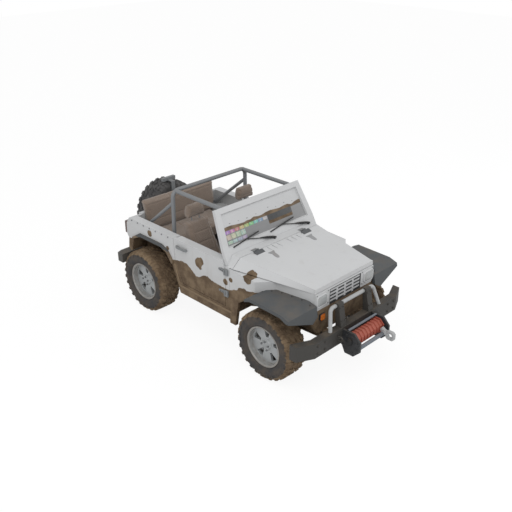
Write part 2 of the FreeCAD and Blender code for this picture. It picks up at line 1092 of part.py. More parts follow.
def make_gearbox():
    """The gearbox behind the engine, with the shaft that goes back to the rear axle."""
    body = new_body("gearbox_case")
    half = of("gearbox_half")
    top = of("floor_bottom") - 12
    pad(
        body,
        "side",
        -half,
        half,
        [
            [
                (front("engine_back_f") + of("seat_gap"), of("gearbox_bottom") + 60),
                (front("gearbox_back_f") - 120, of("gearbox_bottom")),
                (front("gearbox_back_f"), of("gearbox_bottom") + 40),
                (front("gearbox_back_f"), top),
                (front("engine_back_f") + 60, top),
                (front("engine_back_f") + 60, of("engine_bottom") + 120),
                (front("engine_back_f") + of("seat_gap"), of("engine_bottom") + 120),
            ]
        ],
    )
    start = front("gearbox_back_f")
    end = REAR_AXLE - of("diff_radius") - of("seat_gap")
    height = of("tyre_radius") + of("shaft_rise")
    radius = of("shaft_radius")
    collar = radius * 1.4
    length = of("collar_length")
    pieces = [
        body,
        rod("shaft_tube", "y", radius, end - start + 5, ZERO, start - 5, height),
        rod("shaft_collar_front", "y", collar, length, ZERO, start - 5, height),
        rod("shaft_collar_rear", "y", collar, length, ZERO, end - length, height),
    ]
    return fused("gearbox_and_shaft", pieces)


def make_tank():
    body = new_body("fuel_tank")
    pad(
        body,
        "front",
        rear("tank_front_r"),
        rear("tank_back_r"),
        [
            [
                (of("tank_inner"), of("tank_bottom")),
                (of("tank_outer") - 50, of("tank_bottom")),
                (of("tank_outer"), of("tank_bottom") + 50),
                (of("tank_outer"), of("floor_bottom") - of("seat_gap")),
                (of("tank_inner"), of("floor_bottom") - of("seat_gap")),
            ]
        ],
    )
    return body


# Body

def make_tub():
    """The open body: floor, double side walls, wheel houses, cowl and rear corner posts."""
    body = new_body("body_tub")
    half = of("body_half")
    cabin = of("cabin_half")
    pad(
        body,
        "side",
        -half,
        half,
        [
            [
                (front("firewall_f"), of("sill_bottom")),
                (rear("tub_floor_end_r"), of("sill_bottom")),
                (rear("tub_floor_end_r"), of("floor_bottom")),
                (rear("tub_corner_r"), of("floor_bottom")),
                (rear("tub_corner_r"), of("tub_low_z")),
                (rear("tub_foot_r"), of("tub_foot_z")),
                (rear("tub_notch_r"), of("tub_notch_z")),
                (rear("tub_back_r"), of("tub_back_low")),
                (rear("tub_back_r") - 8, of("tub_back_high")),
                (rear("tub_corner_r"), of("rail_height")),
                (front("rail_front_f"), of("rail_height")),
                (front("cowl_seat_f"), of("cowl_seat_z")),
                (front("screen_foot_f") - 1, of("cowl_top")),
                (front("firewall_f"), of("cowl_top")),
            ]
        ],
    )
    cowl_low = of("hood_skirt_back")
    pad(
        body,
        "side",
        -of("hood_skirt_half_back"),
        of("hood_skirt_half_back"),
        [
            [
                (front("cowl_front_f"), cowl_low),
                (front("firewall_f"), cowl_low),
                (front("firewall_f") + 5, cowl_low - 20),
                (front("screen_foot_f") - 1, cowl_low - 20),
                (front("screen_foot_f") - 1, of("screen_foot_z")),
                (front("cowl_top_back_f"), of("hood_back_top")),
                (front("cowl_front_f"), of("hood_back_top")),
            ]
        ],
    )
    top_half = of("hood_back_half")
    skirt_half = of("hood_skirt_half_back")
    corner = [
        (top_half, of("hood_back_top")),
        (skirt_half, cowl_low),
        (skirt_half + 20, cowl_low),
        (skirt_half + 20, of("hood_back_top") + 5),
        (top_half, of("hood_back_top") + 5),
    ]
    pocket(
        body,
        "front",
        front("cowl_front_f") - 5,
        front("cowl_top_back_f") + 5,
        [corner, [(-a, b) for a, b in corner]],
    )
    inside_front = front("firewall_f") + of("firewall_thick")
    house_top = of("arch_top") + of("wheelhouse_wall")
    house_inner = of("wheelhouse_half") - of("wheelhouse_wall")
    beyond = rear("tub_back_r") + 10
    pocket(
        body,
        "top",
        of("floor_top"),
        of("rail_height") + 10,
        [rectangle(-house_inner, house_inner, inside_front, rear("cabin_back_r"))],
    )
    over_house = [
        (inside_front, of("floor_top")),
        (rear("wheelhouse_front_r"), of("floor_top")),
        (rear("wheelhouse_knee_r"), of("wheelhouse_knee_z")),
        (rear("wheelhouse_brow_r"), of("wheelhouse_brow_z")),
        (rear("wheelhouse_crown_r"), house_top),
        (rear("cabin_back_r"), house_top),
        (rear("cabin_back_r"), of("rail_height") + 10),
        (inside_front, of("rail_height") + 10),
    ]
    for low, high in ((-cabin, -house_inner + 1), (house_inner - 1, cabin)):
        pocket(body, "side", low, high, [over_house])
    gate = of("gate_half")
    pocket(
        body,
        "top",
        of("gate_bottom"),
        of("rail_height") + 10,
        [rectangle(-gate, gate, rear("cabin_back_r") - 1, beyond)],
    )
    sill = of("sill_inner")
    pocket(
        body,
        "top",
        of("sill_bottom") - 10,
        of("floor_bottom"),
        [rectangle(-sill, sill, front("firewall_f") - 10, beyond)],
    )
    arch = [
        (rear("arch_foot_r") - 10, of("sill_bottom") - 25),
        (rear("arch_knee_r"), of("arch_knee_z")),
        (rear("arch_shoulder_r"), of("arch_shoulder_z")),
        (rear("arch_top_front_r"), of("arch_top")),
        (rear("arch_top_back_r"), of("arch_top")),
        (rear("arch_back_r"), of("arch_back_z")),
        (rear("arch_end_r"), of("arch_end_z")),
        (rear("arch_tail_r"), of("arch_tail_z")),
        (rear("arch_tail_r"), of("sill_bottom") - 25),
    ]
    for low, high in (
        (-half - 10, -of("wheelhouse_half")),
        (of("wheelhouse_half"), half + 10),
    ):
        pocket(body, "side", low, high, [arch])
    for low, high in ((-half - 10, -cabin), (cabin, half + 10)):
        outline = door_outline(ZERO)
        beyond = outline[3:4] + [(outline[-1][0], of("door_top"))]
        pocket(body, "side", low, high, [outline[:3] + beyond])
    return body


def door_outline(shrink):
    """The door's outline, drawn in by shrink at the front, the back and the bottom."""
    return [
        (front("door_front_f") + shrink, of("door_bottom") + shrink),
        (rear("door_foot_r") - shrink, of("door_bottom") + shrink),
        (rear("door_knee_r") - shrink, of("door_knee_z")),
        (rear("door_back_r") - shrink, of("door_top")),
        (front("door_pillar_top_f"), of("door_top")),
        (front("door_pillar_f"), of("door_pillar_z")),
        (front("door_front_f") + shrink, of("door_pillar_z")),
    ]


def make_door():
    """The right door: an outer skin and an inner panel that is stepped back at the rear."""
    body = new_body("door_right")
    gap = of("panel_gap")
    half = of("body_half")
    skin = half - of("door_skin")
    outer = door_outline(gap)
    pad(body, "side", -half, -skin, [outer])
    step = of("door_step")
    inner = [
        outer[0],
        (outer[1][0] - step, outer[1][1]),
        (outer[2][0] - step, outer[2][1]),
        (outer[3][0] - step, outer[3][1]),
    ] + outer[4:]
    pad(body, "side", -skin, -of("cabin_half") - of("door_inner_gap"), [inner])
    return body


def make_door_hardware():
    """Two strap hinges and the pull handle on the outside of the right door."""
    half = of("body_half")
    axis_x = half + of("hinge_out")
    axis_y = front("door_front_f")
    gap = of("seat_gap")
    pieces = []
    bore = of("hinge_pin") + of("pin_clear")
    for name, middle in (("high", of("hinge_high")), ("low", of("hinge_low"))):
        low = middle - of("hinge_height") / 2 + of("hinge_knuckle")
        high = middle + of("hinge_height") / 2 - of("hinge_knuckle")
        strap = new_body("door_strap_" + name)
        start = axis_y + of("panel_gap") + 2
        pad(
            strap,
            "side",
            -half - gap - of("strap_thick"),
            -half - gap,
            [
                [
                    (start, low),
                    (start + of("strap_length"), low + 12),
                    (start + of("strap_length"), high - 4),
                    (start + of("strap_length") / 2, high + 10),
                    (start + 14, high + 10),
                    (start, high),
                ]
            ],
        )
        barrel = new_body("door_barrel_" + name)
        pad(barrel, "top", low, high, circles=[(-axis_x, axis_y, of("hinge_radius"))])
        link = rectangle(-axis_x - 4, -half - of("hinge_link_gap"), axis_y, start + 6)
        pad(barrel, "top", low, high, [link])
        pocket(barrel, "top", low - 1, high + 1, circles=[(-axis_x, axis_y, bore)])
        pieces.append(fused("door_hinge_" + name, [barrel, strap]))
    back = rear("door_back_r") - of("handle_inset")
    start = back - of("handle_length")
    face = -half - gap
    grip = new_body("door_handle")
    out = of("handle_out")
    high = of("handle_z") + of("handle_height") / 2
    low = of("handle_z") - of("handle_height") / 2
    pad(
        grip,
        "top",
        low,
        high,
        [
            [
                (face, start),
                (face - out + 12, start + 4),
                (face - out, start + 26),
                (face - out, back - 26),
                (face - out + 12, back - 4),
                (face, back),
                (face, back - 26),
                (face - out + 18, back - 38),
                (face - out + 18, start + 38),
                (face, start + 26),
            ]
        ],
    )
    pieces.append(grip)
    return together("door_fittings_right", pieces)


def make_hinge_leaves():
    """The fixed halves of the hinges of the doors, the tailgate and the lid."""
    half = of("body_half")
    gap = of("seat_gap")
    axis_x = half + of("hinge_out")
    axis_y = front("door_front_f")
    end = axis_y - of("hinge_radius") - of("panel_gap")
    leaves = []
    for name, middle in (("high", of("hinge_high")), ("low", of("hinge_low"))):
        low = middle - of("hinge_height") / 2
        high = middle + of("hinge_height") / 2
        leaf = new_body("leaf_" + name)
        pad(leaf, "top", low, high, [rectangle(-axis_x - 4, -half - gap, end - 38, end)])
        knuckle = of("hinge_knuckle") - 0.5
        for bottom, top in ((low, low + knuckle), (high - knuckle, high)):
            pad(leaf, "top", bottom, top, circles=[(-axis_x, axis_y, of("hinge_radius"))])
            arm = rectangle(-axis_x - 4, -half - gap, end - 1, axis_y)
            pad(leaf, "top", bottom, top, [arm])
        pad(leaf, "top", low, high, circles=[(-axis_x, axis_y, of("hinge_pin"))])
        leaves += [leaf, mirrored(leaf, "leaf_left_" + name)]
    pin_clear = of("gate_barrel") + of("panel_gap") - 2
    start = -of("gate_hinge_x") - pin_clear
    for name, middle, face_low, face_high in (
        ("high", of("gate_hinge_high"), of("tub_back_r") - 2, of("tub_back_r") - 5),
        ("low", of("gate_hinge_low"), of("tub_foot_r") - 0.8, of("tub_foot_r") - 9.5),
    ):
        low = middle - of("gate_hinge_height") / 2
        high = middle + of("gate_hinge_height") / 2
        leaf = new_body("gate_leaf_" + name)
        pad(
            leaf,
            "side",
            start - 50,
            start,
            [
                [
                    (REAR_AXLE + face_low, low),
                    (rear("gate_hinge_r") + 8, low),
                    (rear("gate_hinge_r") + 8, high),
                    (REAR_AXLE + face_high, high),
                ]
            ],
        )
        knuckle = of("hinge_knuckle") - 4.5
        pin = (-of("gate_hinge_x"), rear("gate_hinge_r"))
        for bottom, top in ((low, low + knuckle), (high - knuckle, high)):
            pad(leaf, "top", bottom, top, circles=[pin + (of("gate_barrel"),)])
            arm = rectangle(start - 1, pin[0], pin[1] - 6, pin[1] + 8)
            pad(leaf, "top", bottom, top, [arm])
        pad(leaf, "top", low, high, circles=[pin + (of("hinge_pin"),)])
        leaves.append(leaf)
    return together("hinge_leaves", leaves + make_lid_leaves())


def make_wing():
    """The right front wing: body side behind the arch, and the wall beside the engine."""
    body = new_body("front_wing_right")
    half = of("body_half")
    wall = of("wing_wall")
    end = front("nose_f") + of("seat_gap")
    outer = [
        (-half, front("wing_back_f")),
        (-half, front("wing_turn_f")),
        (-of("wing_inner_half"), front("wing_inner_f")),
        (-of("wing_mid_half"), front("wing_mid_f")),
        (-of("nose_half"), end),
    ]
    inner = [
        (-of("nose_half") + wall, end),
        (-of("wing_mid_half") + wall, front("wing_mid_f") + 10),
        (-of("wing_inner_half") + wall, front("wing_inner_f") + 40),
        (-half + wall, front("wing_turn_f") + 32),
        (-half + wall, front("wing_back_f")),
    ]
    pad(body, "top", of("wing_foot_bottom"), of("hood_skirt_back"), [outer + inner])
    shelf = [
        (-half, front("wing_back_f")),
        (-half, front("wing_turn_f")),
        (-of("wing_inner_half"), front("wing_inner_f")),
        (-of("wing_inner_half") + of("wing_shelf"), front("wing_inner_f")),
        (-half + of("wing_shelf"), front("wing_back_f")),
    ]
    pad(body, "top", of("wing_shelf_bottom"), of("hood_skirt_back"), [shelf])
    back = front("wing_back_f") + 10
    ahead = front("nose_f") - 50
    top = of("hood_skirt_back") + 20
    pocket(
        body,
        "side",
        -half - 10,
        ZERO,
        [
            [
                (front("wing_back_f") + 1, of("wing_top_back")),
                (back, top),
                (ahead, top),
                (ahead, of("wing_top_front")),
                (end, of("wing_top_front")),
            ],
            [
                (front("wing_foot_f"), of("wing_foot_bottom") - 10),
                (front("wing_foot_f") - 6, of("sill_bottom")),
                (front("wing_arch_f"), of("wing_arch_z")),
                (front("flare_tail_f"), of("flare_tail_z") - of("flare_thick")),
                (front("wing_turn_f") - 60, of("wing_low")),
                (ahead, of("wing_low")),
                (ahead, of("wing_foot_bottom") - 10),
            ],
        ],
    )
    add_liner(body)
    return together("front_wings", [body, mirrored(body, "front_wing_left")])


def add_liner(body):
    """Closes the wheel arch over the tyre, beside the engine and behind the tyre."""
    inner = -of("liner_x")
    thick = of("liner_thick")
    sunk = of("liner_sunk")
    start = front("liner_front_f")
    end = front("liner_back_f")
    wall = -of("body_half") + sunk
    top = of("wing_low") + thick
    roof = [
        (inner, start),
        (-of("nose_half") + sunk, start),
        (-of("wing_mid_half") + sunk, front("wing_mid_f")),
        (-of("wing_inner_half") + sunk, front("wing_inner_f")),
        (wall, front("wing_turn_f") + sunk),
        (wall, end),
        (inner, end),
    ]
    pad(body, "top", of("wing_low"), top, [roof])
    low = of("liner_bottom")
    pad(body, "side", inner - thick, inner, [rectangle(start, end, low, top)])
    pad(body, "front", end - thick, end, [rectangle(wall, inner, low, top)])


def make_shell():
    """The panel that holds the grille and the headlamps, with the apron under it."""
    body = new_body("shell_panel")
    back = front("nose_f")
    face = back - of("shell_thick")
    pad(
        body,
        "front",
        face,
        back,
        [
            both_sides(
                [
                    (of("nose_half") - 50, of("shell_low")),
                    (of("shell_low_half"), of("shell_low") + 30),
                    (of("nose_half"), of("shell_shoulder")),
                    (of("nose_half"), of("wing_top_front")),
                    (of("nose_half") - 14, of("shell_top") - 44),
                ]
            )
        ],
    )
    beyond = 5
    grille = of("grille_half")
    lamp = of("lamp_x")
    wide = of("lamp_half_wide")
    high = of("lamp_half_high")
    loops = [rectangle(-grille, grille, of("grille_bottom"), of("grille_top") - 10)]
    for side in (-1, 1):
        loops.append(cut_corner_square(side * lamp, of("lamp_z"), wide, high, of("lamp_corner")))
    pocket(body, "front", face - beyond, back + beyond, loops)
    return fused("grille_shell", [body, make_valance()])


def cut_corner_square(across, up, half_wide, half_high, corner):
    """A square with its corners cut, as the lamps have."""
    across = as_size(across)
    return [
        (across - half_wide + corner, up - half_high),
        (across + half_wide - corner, up - half_high),
        (across + half_wide, up - half_high + corner),
        (across + half_wide, up + half_high - corner),
        (across + half_wide - corner, up + half_high),
        (across - half_wide + corner, up + half_high),
        (across - half_wide, up + half_high - corner),
        (across - half_wide, up - half_high + corner),
    ]


def make_grille():
    """A black insert with rows of slots between its bars and posts."""
    body = new_body("grille_insert")
    gap = of("seat_gap")
    half = of("grille_half") - gap
    low = of("grille_bottom") + gap
    high = of("grille_top") - 10 - gap
    back = front("nose_f") - 10
    face = back - of("grille_thick")
    pad(body, "front", face, back, [rectangle(-half, half, low, high)])
    columns = int(SHEET.get("grille_columns"))
    rows = int(SHEET.get("grille_rows"))
    rim = of("grille_rim")
    post = of("grille_post")
    wide = (half * 2 - rim * 2 - post * (columns - 1)) / columns
    slots = []
    for column in range(columns):
        left = -half + rim + (wide + post) * column
        for row in range(rows):
            bottom = low + rim + of("grille_pitch") * row
            slots.append(rectangle(left, left + wide, bottom, bottom + of("grille_slot")))
    pocket(body, "front", face - 1, back + 1, slots)
    return body


def make_headlamps():
    body = new_body("headlamp_right")
    clear = of("lamp_clear")
    face = front("nose_f") - of("shell_thick") - 12
    pad(
        body,
        "front",
        face,
        face + of("lamp_depth"),
        [
            cut_corner_square(
                -of("lamp_x"),
                of("lamp_z"),
                of("lamp_half_wide") - clear,
                of("lamp_half_high") - clear,
                of("lamp_corner"),
            )
        ],
    )
    return together("headlamps", [body, mirrored(body, "headlamp_left")])


def make_valance():
    """The panel between the grille shell and the front bumper."""
    body = new_body("front_valance")
    back = front("nose_f")
    half = of("valance_half")
    pad(
        body,
        "front",
        back - of("valance_thick"),
        back,
        [
            both_sides(
                [
                    (of("nose_half") - 60, of("rail_top") + of("seat_gap")),
                    (half, of("valance_bottom") + 20),
                    (half - 40, of("shell_low") - 30),
                    (of("nose_half") - 50, of("shell_low") + 1),
                ]
            )
        ],
    )
    return body


def make_signals():
    half = of("signal_half")
    back = front("nose_f") - of("valance_thick") - of("seat_gap")
    body = new_body("turn_signal_right")
    pad(
        body,
        "front",
        back - of("signal_depth"),
        back,
        [
            cut_corner_square(
                -of("signal_x"),
                of("signal_z"),
                half,
                half,
                half / 3,
            )
        ],
    )
    return [body, mirrored(body, "turn_signal_left")]


def make_hood():
    """A lofted lid with sloping sides, hinged at its back edge, with two wedge-shaped hinges."""
    body = new_body("hood_lid")
    thick = of("hood_thick")

    def section(place, half, top, skirt_half, skirt):
        outer = [(skirt_half, skirt), (half, top)]
        inner = [(-half + thick / 2, top - thick), (-skirt_half + thick, skirt)]
        return draw(
            body,
            "front",
            place,
            [
                outer
                + [(-half, top), (-skirt_half, skirt)]
                + [(a, b) for a, b in reversed(inner)]
                + [(-a, b) for a, b in inner]
            ],
        )

    nose = section(
        front("hood_front_f"),
        of("hood_front_half"),
        of("hood_front_top"),
        of("hood_skirt_half_front"),
        of("hood_skirt_front"),
    )
    tail = section(
        front("hood_back_f"),
        of("hood_back_half"),
        of("hood_back_top"),
        of("hood_skirt_half_back"),
        of("hood_skirt_back"),
    )
    loft = body.newObject("PartDesign::AdditiveLoft", "hood_skin")
    loft.Profile = nose
    loft.Sections = [tail]
    loft.Ruled = True
    nose_half = of("hood_skirt_half_front")
    pad(
        body,
        "front",
        front("hood_front_f") - 30,
        front("hood_front_f"),
        [
            both_sides(
                [
                    (nose_half, of("hood_skirt_front")),
                    (nose_half - 8, of("hood_front_top")),
                ]
            )
        ],
    )
    slots = []
    for side in (-1, 1):
        for i in range(3):
            middle = (of("louvre_first") + of("louvre_pitch") * i) * side
            half = of("louvre_half")
            slots.append(
                rectangle(middle - half, middle + half, front("louvre_front_f"), front("louvre_back_f"))
            )
    top = of("hood_back_top")
    pocket(body, "top", top - of("louvre_depth"), top + 5, slots)
    return fused("hood", [body] + make_lid_wedges())


def lid_pin():
    """Where the lid's hinge pins lie, as a place along the car and a height."""
    along = (front("hood_back_f") + front("cowl_front_f")) / 2
    return along, of("hood_back_top") + of("lid_hinge_rise")


def make_lid_wedges():
    """The moving halves of the lid's hinges: a wedge on the lid with a bored knuckle."""
    size = of("lid_wedge")
    rise = (of("hood_back_top") - of("hood_front_top")) / (
        of("hood_back_f") - of("hood_front_f")
    )
    sunk = 3
    end = front("hood_back_f") - 4
    top = of("hood_back_top")
    pin_y, pin_z = lid_pin()
    half = of("lid_knuckle") / 2
    wedges = []
    for side, name in ((-1, "right"), (1, "left")):
        body = new_body("lid_wedge_" + name)
        middle = of("lid_hinge_x") * side
        pad(
            body,
            "side",
            middle - half,
            middle + half,
            [
                [
                    (end - size, top - rise * (size + 4) - sunk),
                    (end, top - rise * 4 - sunk),
                    (end, top + of("lid_wedge_height")),
                    (end - size / 3, top + of("lid_wedge_height") - 3),
                ]
            ],
        )
        wide = of("lid_wedge_half")
        back = end - of("lid_wedge_back")
        pad(
            body,
            "side",
            middle - wide,
            middle + wide,
            [
                [
                    (end - size, top - rise * (size + 4) - sunk),
                    (back, top - rise * (of("lid_wedge_back") + 4) - sunk),
                    (back, top + of("lid_wedge_height") - 2),
                    (end - size / 3, top + of("lid_wedge_height") - 3),
                ]
            ],
        )
        pad(body, "side", middle - half, middle + half, circles=[(pin_y, pin_z, of("lid_barrel"))])
        arm = rectangle(end - 2, pin_y, pin_z - 4, pin_z + of("lid_barrel"))
        pad(body, "side", middle - half, middle + half, [arm])
        bore = of("lid_pin") + of("pin_clear")
        pocket(body, "side", middle - half - 1, middle + half + 1, circles=[(pin_y, pin_z, bore)])
        wedges.append(body)
    return wedges


def make_lid_leaves():
    """The fixed halves of the lid's hinges on the cowl, two knuckles and a pin each."""
    pin_y, pin_z = lid_pin()
    seat = of("hood_back_top") + of("seat_gap")
    inner = of("lid_knuckle") / 2 + 1
    outer = inner + 22
    start = front("cowl_front_f") + 5
    leaves = []
    for side, name in ((-1, "right"), (1, "left")):
        body = new_body("lid_leaf_" + name)
        middle = of("lid_hinge_x") * side
        plate = rectangle(start, start + 46, seat, seat + 6)
        pad(body, "side", middle - outer, middle + outer, [plate])
        for low, high in ((middle - outer, middle - inner), (middle + inner, middle + outer)):
            pad(body, "side", low, high, circles=[(pin_y, pin_z, of("lid_barrel"))])
            arm = rectangle(pin_y, start + 2, pin_z - 4, pin_z + 6)
            pad(body, "side", low, high, [arm])
            post = rectangle(start, start + 8, seat, pin_z + 6)
            pad(body, "side", low, high, [post])
        pad(body, "side", middle - outer, middle + outer, circles=[(pin_y, pin_z, of("lid_pin"))])
        leaves.append(body)
    return leaves


def make_front_flare():
    """The right front flare: a thick flat shelf that folds down ahead of the tyre."""
    body = new_body("flare_front_right")
    thick = of("flare_thick")
    gap = of("seat_gap")
    top = of("flare_top")
    pad(
        body,
        "side",
        -of("flare_half"),
        -of("nose_half"),
        [
            [
                (front("flare_tail_f"), of("flare_tail_z")),
                (front("flare_hip_f"), top + 10),
                (front("flare_kink_f"), top),
                (front("flare_brow_f"), of("flare_brow_z")),
                (front("flare_chin_f"), of("flare_jaw_z")),
                (front("flare_chin_f") + thick, of("flare_jaw_z")),
                (front("flare_brow_f") + thick, of("flare_brow_z") - thick),
                (front("flare_kink_f") + 10, top - thick),
                (front("flare_hip_f") - 10, top + 10 - thick),
                (front("flare_tail_f"), of("flare_tail_z") - thick + 10),
            ]
        ],
    )
    beyond = of("flare_chin_f")
    inner_edge = [
        (-of("body_half") - gap, front("flare_tail_f") + 10),
        (-of("body_half") - gap, front("wing_turn_f")),
        (-of("wing_inner_half") - gap, front("wing_inner_f") - 1),
        (-of("wing_mid_half") - gap, front("wing_mid_f") - 1),
        (-of("nose_half") - gap - 8, front("nose_f") - of("shell_thick") - gap),
        (-of("nose_half") - gap - 8, FRONT_AXLE + beyond - 10),
        (-of("nose_half") + 10, FRONT_AXLE + beyond - 10),
        (-of("nose_half") + 10, front("flare_tail_f") + 10),
    ]
    pocket(body, "top", of("flare_jaw_z") - 10, top + 20, [inner_edge])
    low = of("flare_jaw_z") - 10
    pocket(
        body,
        "front",
        front("flare_chin_f") - 10,
        front("flare_tail_f") + 10,
        [
            [
                (-of("flare_half") - 10, of("flare_cheek_z") - 2),
                (-of("flare_jaw_half"), of("flare_jaw_z") + 2),
                (-of("flare_chin_half"), of("flare_chin_z")),
                (-of("nose_half") + 20, of("flare_chin_z") + 5),
                (-of("nose_half") + 20, low),
                (-of("flare_half") - 10, low),
            ]
        ],
    )
    return together("front_flares", [body, mirrored(body, "flare_front_left")])


def make_rear_flare():
    """The right rear flare: a narrow band around the wheel arch."""
    body = new_body("flare_rear_right")
    band = of("rear_flare_band")
    inner = [
        (rear("arch_knee_r") - 8, of("arch_knee_z") - 20),
        (rear("arch_knee_r"), of("arch_knee_z")),
        (rear("arch_shoulder_r"), of("arch_shoulder_z")),
        (rear("arch_top_front_r"), of("arch_top")),
        (rear("arch_top_back_r"), of("arch_top")),
        (rear("arch_back_r"), of("arch_back_z")),
    ]
    outer = [
        (rear("arch_back_r") + 10, of("arch_back_z") + band / 2),
        (rear("arch_top_back_r") + 14, of("arch_top") + band),
        (rear("arch_top_front_r") - 14, of("arch_top") + band),
        (rear("arch_shoulder_r") - 36, of("arch_shoulder_z") + band * 0.7),
        (rear("arch_knee_r") - 46, of("arch_knee_z") + 14),
        (rear("arch_knee_r") - 42, of("arch_knee_z") - 20),
    ]
    start = of("body_half") + of("seat_gap")
    pad(body, "side", -start - of("rear_flare_out"), -start, [inner + outer])
    return together("rear_flares", [body, mirrored(body, "flare_rear_left")])


# Windscreen and roll cage

def make_screen():
    """The windscreen frame, drawn flat and then leaned back."""
    body = new_body("windscreen_frame")
    thick = of("screen_thick")
    pad(
        body,
        "front",
        ZERO,
        thick,
        [
            both_sides(
                [
                    (of("screen_half_low"), ZERO),
                    (of("screen_half_low") - 8, of("glass_low")),
                    (of("screen_half_high"), of("screen_height")),
                ]
            )
        ],
    )
    pocket(
        body,
        "front",
        ZERO - 5,
        thick + 5,
        [
            both_sides(
                [
                    (of("glass_half_low"), of("glass_low")),
                    (of("glass_half_high"), of("glass_high")),
                ]
            )
        ],
    )
    lean_on_cowl(body)
    return body


def lean_on_cowl(thing):
    turn(thing, Vector(1, 0, 0), -of("screen_lean_degrees"))
    move(thing, ZERO, front("screen_foot_f"), of("screen_foot_z"))


def make_glass():
    body = new_body("windscreen_glass")
    clear = of("glass_clear")
    start = of("screen_thick") / 2 - of("glass_thick") / 2
    pad(
        body,
        "front",
        start,
        start + of("glass_thick"),
        [
            both_sides(
                [
                    (of("glass_half_low") - clear, of("glass_low") + clear),
                    (of("glass_half_high") - clear, of("glass_high") - clear),
                ]
            )
        ],
    )
    lean_on_cowl(body)
    return body


def screen_back(height):
    """How far along the car the back face of the windscreen frame is at a height."""
    lean = math.radians(SHEET.get("screen_lean_degrees"))
    rise = float(height) - float(of("screen_foot_z"))
    return (
        float(front("screen_foot_f"))
        + rise * math.tan(lean)
        + float(of("screen_thick")) / math.cos(lean)
    )


def make_cage():
    """A main hoop with two bars to the windscreen and two braces to the wheel houses."""
    radius = of("tube_radius")
    hoop_y = rear("hoop_r")
    foot = of("arch_top") + of("wheelhouse_wall") + of("seat_gap")
    hoop = bent_tube(
        "cage_hoop",
        [
            (-of("hoop_foot_half"), hoop_y, foot - 30),
            (-of("hoop_top_half"), hoop_y, of("hoop_top")),
            (of("hoop_top_half"), hoop_y, of("hoop_top")),
            (of("hoop_foot_half"), hoop_y, foot - 30),
        ],
        radius,
        of("cage_bend"),
    )
    pieces = [hoop]
    bar_half = of("hoop_top_half") - of("cage_bend") / 2
    brace_start_half = (
        float(of("hoop_top_half"))
        + (float(of("hoop_foot_half")) - float(of("hoop_top_half")))
        * (float(of("hoop_top")) - float(of("brace_top")))
        / (float(of("hoop_top")) - float(foot))
    )
    for side in (-1, 1):
        label = "right" if side < 0 else "left"
        bar = bent_tube(
            "cage_bar_" + label,
            [
                (side * float(bar_half), hoop_y, of("hoop_top") - 6),
                (side * float(bar_half), screen_back(of("hoop_top")) - 60, of("hoop_top") - 6),
            ],
            radius,
            of("cage_bend"),
        )
        brace = bent_tube(
            "cage_brace_" + label,
            [
                (side * brace_start_half, hoop_y, of("brace_top")),
                (side * float(of("brace_foot_half")), rear("brace_foot_r"), foot - 60),
            ],
            radius * 0.85,
            of("cage_bend"),
        )
        pieces += [bar, brace]
    whole = fused("cage_tubes", pieces)
    trim_screen = new_body("cage_trim_screen")
    wide = of("screen_half_low")
    pad(
        trim_screen,
        "front",
        -of("cage_trim"),
        of("screen_thick") + of("seat_gap"),
        [rectangle(-wide, wide, ZERO, of("screen_height") + of("cage_trim"))],
    )
    lean_on_cowl(trim_screen)
    trim_feet = block(
        "cage_trim_feet",
        (-of("body_half"), rear("hoop_r") - of("cage_trim") / 2, foot - of("cage_trim")),
        (of("body_half"), rear("tub_back_r"), foot),
    )
    trims = fused("cage_trims", [trim_screen, trim_feet])
    return cut_from("roll_cage", whole, trims)


# Bumpers, bull bar and winch

def make_front_bumper():
    """A wide bumper with swept ends, two uprights and two towing eyes."""
    body = new_body("front_bumper")
    tip = of("bumper_half")
    flat = of("bumper_flat_half")
    pad(
        body,
        "top",
        of("bumper_bottom"),
        of("bumper_top"),
        [
            both_sides(
                [
                    (flat, front("bumper_front_f")),
                    (tip, front("bumper_tip_f")),
                    (tip, front("bumper_tip_back_f")),
                    (flat - 20, front("bumper_back_f")),
                ]
            )
        ],
    )
    upright = [
        (front("bumper_front_f") + 10, of("bumper_top") - 1),
        (front("upright_top_front_f"), of("upright_top")),
        (front("upright_top_back_f"), of("upright_top")),
        (front("bumper_back_f"), of("bumper_top") - 1),
    ]
    for middle in (-of("upright_x"), of("upright_x")):
        half = of("upright_half")
        pad(body, "side", middle - half, middle + half, [upright])
    eye_y = front("bumper_front_f") - of("eye_reach")
    for middle in (-of("eye_x"), of("eye_x")):
        half = of("eye_thick") / 2
        outer = of("eye_outer")
        lug = [
            (front("bumper_front_f") + 1, of("eye_z") - outer),
            (front("bumper_front_f") + 1, of("eye_z") + outer),
            (eye_y, of("eye_z") + outer),
            (eye_y - outer * 0.7, of("eye_z") + outer * 0.7),
            (eye_y - outer, of("eye_z")),
            (eye_y - outer * 0.7, of("eye_z") - outer * 0.7),
            (eye_y, of("eye_z") - outer),
        ]
        pad(body, "side", middle - half, middle + half, [lug])
        pocket(
            body,
            "side",
            middle - half - 1,
            middle + half + 1,
            circles=[(eye_y, of("eye_z"), of("eye_radius"))],
        )
    return body


